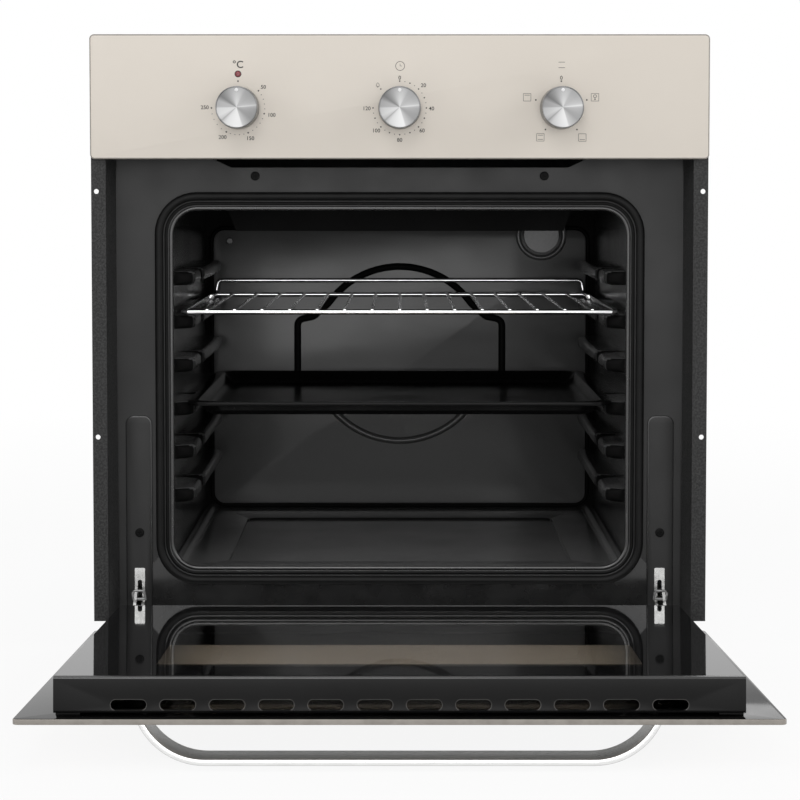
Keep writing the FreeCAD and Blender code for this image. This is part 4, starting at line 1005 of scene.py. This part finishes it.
# Top strip of the door: a folded black profile across the door with twelve air slots, screwed at
# its ends, with a channel down each side and a rail along the bottom.
STRIP_FRONT, STRIP_BACK, STRIP_DEEP, STRIP_WALL = GLASS_BACK + 0.003, PANE_BACK + 0.0014, 0.012, 0.0013
AIR_X, AIR_Y, AIR_STEP = -0.209, PANE_BACK - 0.0205, 0.038
END_X, END_HALF = INNER_SIDE - 0.0007, 0.0006


def face_out():
    bpy.ops.mesh.select_all(action="SELECT")
    bpy.ops.mesh.normals_make_consistent(inside=False)
    done()


def ribbon(name, path, run, thick, inside):
    """A sheet drawn along a path, pulled along a run, and thickened towards a point inside it."""
    sheet = line(name, path)
    bpy.ops.mesh.extrude_edges_move(TRANSFORM_OT_translate={"value": run})
    face_out()
    middle = sheet.data.polygons[len(path) // 2]
    inwards = middle.normal.dot(Vector(inside) - middle.center) > 0
    finish_with(sheet, "SOLIDIFY", thickness=thick, offset=1 if inwards else -1)
    edit(sheet, "FACE")
    face_out()
    return sheet


fold = bent([(-INNER_SIDE, STRIP_FRONT, STRIP_TOP - STRIP_DEEP), (-INNER_SIDE, STRIP_FRONT, STRIP_TOP),
             (-INNER_SIDE, STRIP_BACK, STRIP_TOP), (-INNER_SIDE, STRIP_BACK, STRIP_TOP - 0.0045)], 0.0024, 5)
strip = ribbon("door_strip", fold, (2 * INNER_SIDE, 0, 0), STRIP_WALL, (0, PANE_FRONT, STRIP_TOP - 0.1))
cut_out(strip, slot_row(12, (AIR_X, AIR_Y, STRIP_TOP), (AIR_STEP, 0, 0), (0.0275, 0.008, 0.01), Z))


def by_slots(point):
    return point.z > STRIP_TOP - 0.0004 and abs(point.y - AIR_Y) < 0.0045


def on_slot_rim(a, b):
    """True for the upper edges of one air slot."""
    return by_slots(a) and by_slots(b) and round((a.x - AIR_X) / AIR_STEP) == round((b.x - AIR_X) / AIR_STEP)


def on_slot_highlight(middle, normal):
    return by_slots(middle) and 0.2 < normal.z < 0.95


def on_rear_bend(middle, normal):
    return 0.15 < normal.z < 0.97 and normal.y > 0.2 and middle.y > PANE_BACK - 0.004


round_edges(strip, 0.0005, 2, on_slot_rim)
ends = [block("strip_end", (sign * END_X - END_HALF, STRIP_FRONT + 0.0006, STRIP_TOP - STRIP_DEEP),
              (sign * END_X + END_HALF, PANE_FRONT - 0.0002, STRIP_TOP - 0.0006)) for side, sign in SIDES]
strip = join("door_strip", [strip] + ends)
smooth(strip, 40)
profile_paint = finish("black_profile_paint", 0.38, 0.006, 0.009, (12, 5), shine=0.15,
                       relief=(800, 2, 0.1, 0.0002))
fit_piece(strip, profile_paint, "door", "black_paint", "door_top_strip")
# The slopes round the air slots are painted a lighter grey: a painted highlight.
slot_highlight_paint = finish("painted_slot_highlight", 0.4, (0.06, 0.058, 0.056), (0.12, 0.115, 0.11), (120, 4), shine=0.3)
second_finish(strip, slot_highlight_paint, on_slot_highlight)
second_finish(strip, gloss_paint, on_rear_bend)
swing(strip)
dress(profile_paint, "door_channel_left", "door_channel_right", "door_bottom_rail")

head_y, head_z = PANE_FRONT - 0.009, STRIP_TOP - 0.02
side_heads = join("door_side_screws", [
    screws("side_head", 0.0035, 0.002, [(sign * INNER_SIDE, head_y, head_z)], side) for side, sign in SIDES])
fit_piece(side_heads, black_screw, "door", "black_paint", "channel_screws")
swing(side_heads)

# Handle: a flat steel strip, brushed along its length, whose ends curve back to the glass and are
# screwed from behind.
HANDLE_HALF, HANDLE_BEND, HANDLE_REACH, HANDLE_THICK = 0.202, 0.052, 0.0327, 0.005
HANDLE_LOW, HANDLE_HIGH, BEND_STEPS = 0.43, 0.465, 14
curve = (HANDLE_BEND ** 2 + HANDLE_REACH ** 2) / (2 * HANDLE_REACH)
curve_y = FACE - HANDLE_REACH + curve
sweep = math.acos((curve_y - FACE) / curve) / BEND_STEPS
straight = HANDLE_HALF - HANDLE_BEND
right_end = [(straight + curve * math.sin(sweep * k), curve_y - curve * math.cos(sweep * k), HANDLE_LOW)
             for k in range(BEND_STEPS + 1)]
grip = [(-x, y, z) for x, y, z in reversed(right_end)] + right_end
handle = ribbon("door_handle", grip, (0, 0, HANDLE_HIGH - HANDLE_LOW), HANDLE_THICK, (0, 0, HANDLE_LOW))
finish_with(handle, "BEVEL", width=0.0009, segments=3, limit_method="ANGLE", angle_limit=math.radians(50))
smooth(handle, 40)
brushed_steel = finish("brushed_steel", 0.3, (0.44, 0.44, 0.435), (0.56, 0.56, 0.555), (30, 4, (1, 60, 60)),
                       metal=1.0)
sheen_range(brushed_steel, grain(brushed_steel, 40, 3, (1, 50, 50)), 0.24, 0.38)
bumps(brushed_steel, grain(brushed_steel, 40, 2, (1, 60, 60)), 0.06, 0.0001)
fit_piece(handle, brushed_steel, "door", "handle_metal", "handle")
# The strip's narrow edges are painted far lighter than its brushed faces: a painted highlight on the edge
# that faces the light.
painted_highlight_edge = finish("painted_highlight_edge", 0.25, (0.74, 0.74, 0.735), (0.86, 0.86, 0.855), (60, 3, (1, 30, 30)),
                       metal=1.0)
second_finish(handle, painted_highlight_edge, lambda middle, normal: abs(normal.z) > 0.9)
swing(handle)
dress(black_screw, "handle_screws")

# Wire shelf: chromed round wires welded into a grid, with a raised rail along the back that stops
# pans. It slides on the fifth pair of ribs.
SHELF_Z = RIB_TOPS[4] + 0.0003 + 0.003
SHELF_FRONT, SHELF_REAR, SHELF_SIDE = FRONT + 0.03, FRONT + 0.379, 0.216
RAIL_SIDE, RAIL_RISE, RAIL_ARM, RAIL_LEAN = 0.213, 0.0165, 0.06, 0.003
GRID_SIDE, GRID_GAPS, GRID_UP, GRID_PAST = 0.192, 14, 0.0012, 0.0014
loop = [(-SHELF_SIDE, SHELF_FRONT, SHELF_Z), (SHELF_SIDE, SHELF_FRONT, SHELF_Z),
        (SHELF_SIDE, SHELF_REAR, SHELF_Z), (-SHELF_SIDE, SHELF_REAR, SHELF_Z)]
rail_left = [(-RAIL_SIDE, SHELF_REAR - RAIL_ARM, SHELF_Z), (-RAIL_SIDE, SHELF_REAR, SHELF_Z + 0.0005),
             (-RAIL_SIDE + RAIL_LEAN, SHELF_REAR, SHELF_Z + RAIL_RISE)]
rail = rail_left + [(-x, y, z) for x, y, z in reversed(rail_left)]
first = wire("shelf_wire", [(-GRID_SIDE, SHELF_FRONT - GRID_PAST, SHELF_Z + GRID_UP),
                            (-GRID_SIDE, SHELF_REAR + GRID_PAST, SHELF_Z + GRID_UP)], 0.0018)
parts = [wire("shelf_loop", bent(loop, 0.005, 5, closed=True), 0.0026, closed=True),
         wire("shelf_rail", bent(rail, 0.005, 4), 0.0024)]
parts += [copy_to(first, (number * 2 * GRID_SIDE / GRID_GAPS, 0, 0)) for number in range(1, GRID_GAPS + 1)]
shelf = join("shelf_grid", parts + [first])
smooth(shelf, 50)
chrome = finish("bright_chrome", 0.08, (0.72, 0.72, 0.73), (0.82, 0.82, 0.83), (90,), metal=1.0,
                sheen=(200, 3, 0.05, 0.14))
fit_piece(shelf, chrome, "shelf", "shelf_chrome", "wire_shelf")

# Baking tray: a deep pan pressed from steel sheet with a rolled rim, in black enamel.
# It slides on the third pair of ribs.
TRAY_RIM, TRAY_ROUND, TRAY_LIP = 0.01, 0.02, 0.0035
tray_low, tray_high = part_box("baking_tray")
tray = block("tray_black", (tray_low[X] + TRAY_RIM, tray_low[Y] + TRAY_RIM, tray_low[Z]),
             (tray_high[X] - TRAY_RIM, tray_high[Y] - TRAY_RIM, tray_high[Z]))
pick_faces(tray, lambda middle, normal: normal.z > 0.9)
bpy.ops.mesh.delete(type="FACE")
done()
round_edges(tray, TRAY_ROUND, 6, lambda a, b: abs((a - b).z) > 0.01)
pick_faces(tray, lambda middle, normal: normal.z < -0.9)
bpy.ops.transform.resize(value=(0.96, 0.955, 1))
done()
round_edges(tray, 0.006, 4, lambda a, b: max(a.z, b.z) < tray_low[Z] + 0.0005)
pick_edges(tray, lambda a, b: min(a.z, b.z) > tray_high[Z] - 0.0005)
bpy.ops.mesh.extrude_edges_move(TRANSFORM_OT_translate={"value": (0, 0, 0)})
bpy.ops.transform.resize(value=(1.046, 1.05, 1))
bpy.ops.mesh.extrude_edges_move(TRANSFORM_OT_translate={"value": (0, 0, -TRAY_LIP)})
done()
edit(tray, "FACE")
face_out()
finish_with(tray, "SOLIDIFY", thickness=SHEET, offset=0)
finish_with(tray, "BEVEL", width=0.0009, segments=2, limit_method="ANGLE", angle_limit=math.radians(50))
smooth(tray, 40)
tray_enamel = fired_enamel("tray_enamel", 0.003, 0.007, 0.1)
fit_piece(tray, tray_enamel, "tray", "enamel", "baking_tray")

# Studio: a pale floor under the oven, soft lamps above and at both sides, and a white surround.
# Both the floor and the surround glow white for the camera and in mirrors, and light the oven less.
WHITE = (1, 1, 1, 1)
bpy.ops.mesh.primitive_plane_add(size=60, location=(0, 0, solids_low[Z] - 0.0008))
floor = bpy.context.object
floor.name = "studio_floor"


def seen_or_mirrored(tree, rays):
    """One for the camera's own rays and for mirrored ones, or else nothing."""
    return node(tree, "Math", {0: rays["Is Camera Ray"], 1: rays["Is Glossy Ray"]}, "MAXIMUM").outputs[0]


floor_paint = new_finish("pale_floor", 0.9, shine=0.1)
set_shader(floor_paint, {"Base Color": colour(0.86)})
tree = floor_paint.node_tree
seen = seen_or_mirrored(tree, node(tree, "LightPath").outputs)
away = node(tree, "VectorMath", {0: node(tree, "TexCoord").outputs["Object"]}, "LENGTH")
fade = node(tree, "MapRange", {"Value": away.outputs["Value"], "From Min": 0.7, "From Max": 2.0,
                               "To Min": 0.9, "To Max": 1.0})
share = node(tree, "Math", {0: seen, 1: fade.outputs["Result"]}, "MULTIPLY")
glow = node(tree, "Emission", {"Strength": 1.0})
blend = node(tree, "MixShader", {"Fac": share.outputs[0], 1: tree.nodes["Principled BSDF"].outputs["BSDF"],
                                 2: glow.outputs["Emission"]})
feed(tree, tree.nodes["Material Output"], {"Surface": blend.outputs["Shader"]})
floor.data.materials.append(floor_paint)

surround = bpy.data.worlds.new("white_surround")
bpy.context.scene.world = surround
surround.use_nodes = True
tree = surround.node_tree
dim = tree.nodes["Background"]
feed(tree, dim, {"Color": WHITE, "Strength": 0.42})
bright = node(tree, "Background", {"Color": WHITE, "Strength": 1.0})
rays = node(tree, "LightPath").outputs
seen = node(tree, "Math", {0: seen_or_mirrored(tree, rays), 1: rays["Is Transmission Ray"]}, "MAXIMUM")
blend = node(tree, "MixShader", {"Fac": seen.outputs[0], 1: dim.outputs["Background"],
                                 2: bright.outputs["Background"]})
feed(tree, tree.nodes["World Output"], {"Surface": blend.outputs["Shader"]})


def soft_lamp(name, place, aim, size, power):
    """A square lamp at a place, turned to face a point."""
    bpy.ops.object.light_add(type="AREA", location=place)
    lamp = bpy.context.object
    lamp.name = name
    lamp.data.size = size
    lamp.data.energy = power
    lamp.rotation_euler = (Vector(aim) - Vector(place)).to_track_quat("-Z", "Y").to_euler()


OVEN_MIDDLE = (0, 0, 0.3)
soft_lamp("front_lamp", (-0.5, -2.5, 2.5), (0, -0.2, 0.3), 1.4, 18)
soft_lamp("level_lamp", (0, -3.3, 0.7), OVEN_MIDDLE, 1.9, 21)
soft_lamp("left_lamp", (-2.6, -1.2, 1.5), OVEN_MIDDLE, 1.4, 13)
soft_lamp("right_lamp", (2.6, -1.0, 1.5), OVEN_MIDDLE, 1.4, 20)
soft_lamp("back_lamp", (0.6, 2.6, 1.8), OVEN_MIDDLE, 1.6, 22)

# Camera: a little above the cavity mouth on the middle plane, tilted a little down. The lens sees the
# front as in the photograph, by a focal length in pixels of a picture as wide as the film.
FILM, FOCAL_PIXELS, PICTURE_PIXELS = 36, 2155.7, 800
CAMERA_PLACE, CAMERA_TILT = (0.0003, -2.3727, 0.4495), math.radians(2.9)
CAMERA_SHIFT, FARTHEST = -0.1307, 50
bpy.ops.object.camera_add(location=CAMERA_PLACE, rotation=(QUARTER - CAMERA_TILT, 0, 0))
camera = bpy.context.object
camera.data.lens = FOCAL_PIXELS * FILM / PICTURE_PIXELS
camera.data.sensor_width = FILM
camera.data.shift_y = CAMERA_SHIFT
camera.data.clip_end = FARTHEST
bpy.context.scene.camera = camera
bpy.context.scene.view_settings.view_transform = "Standard"
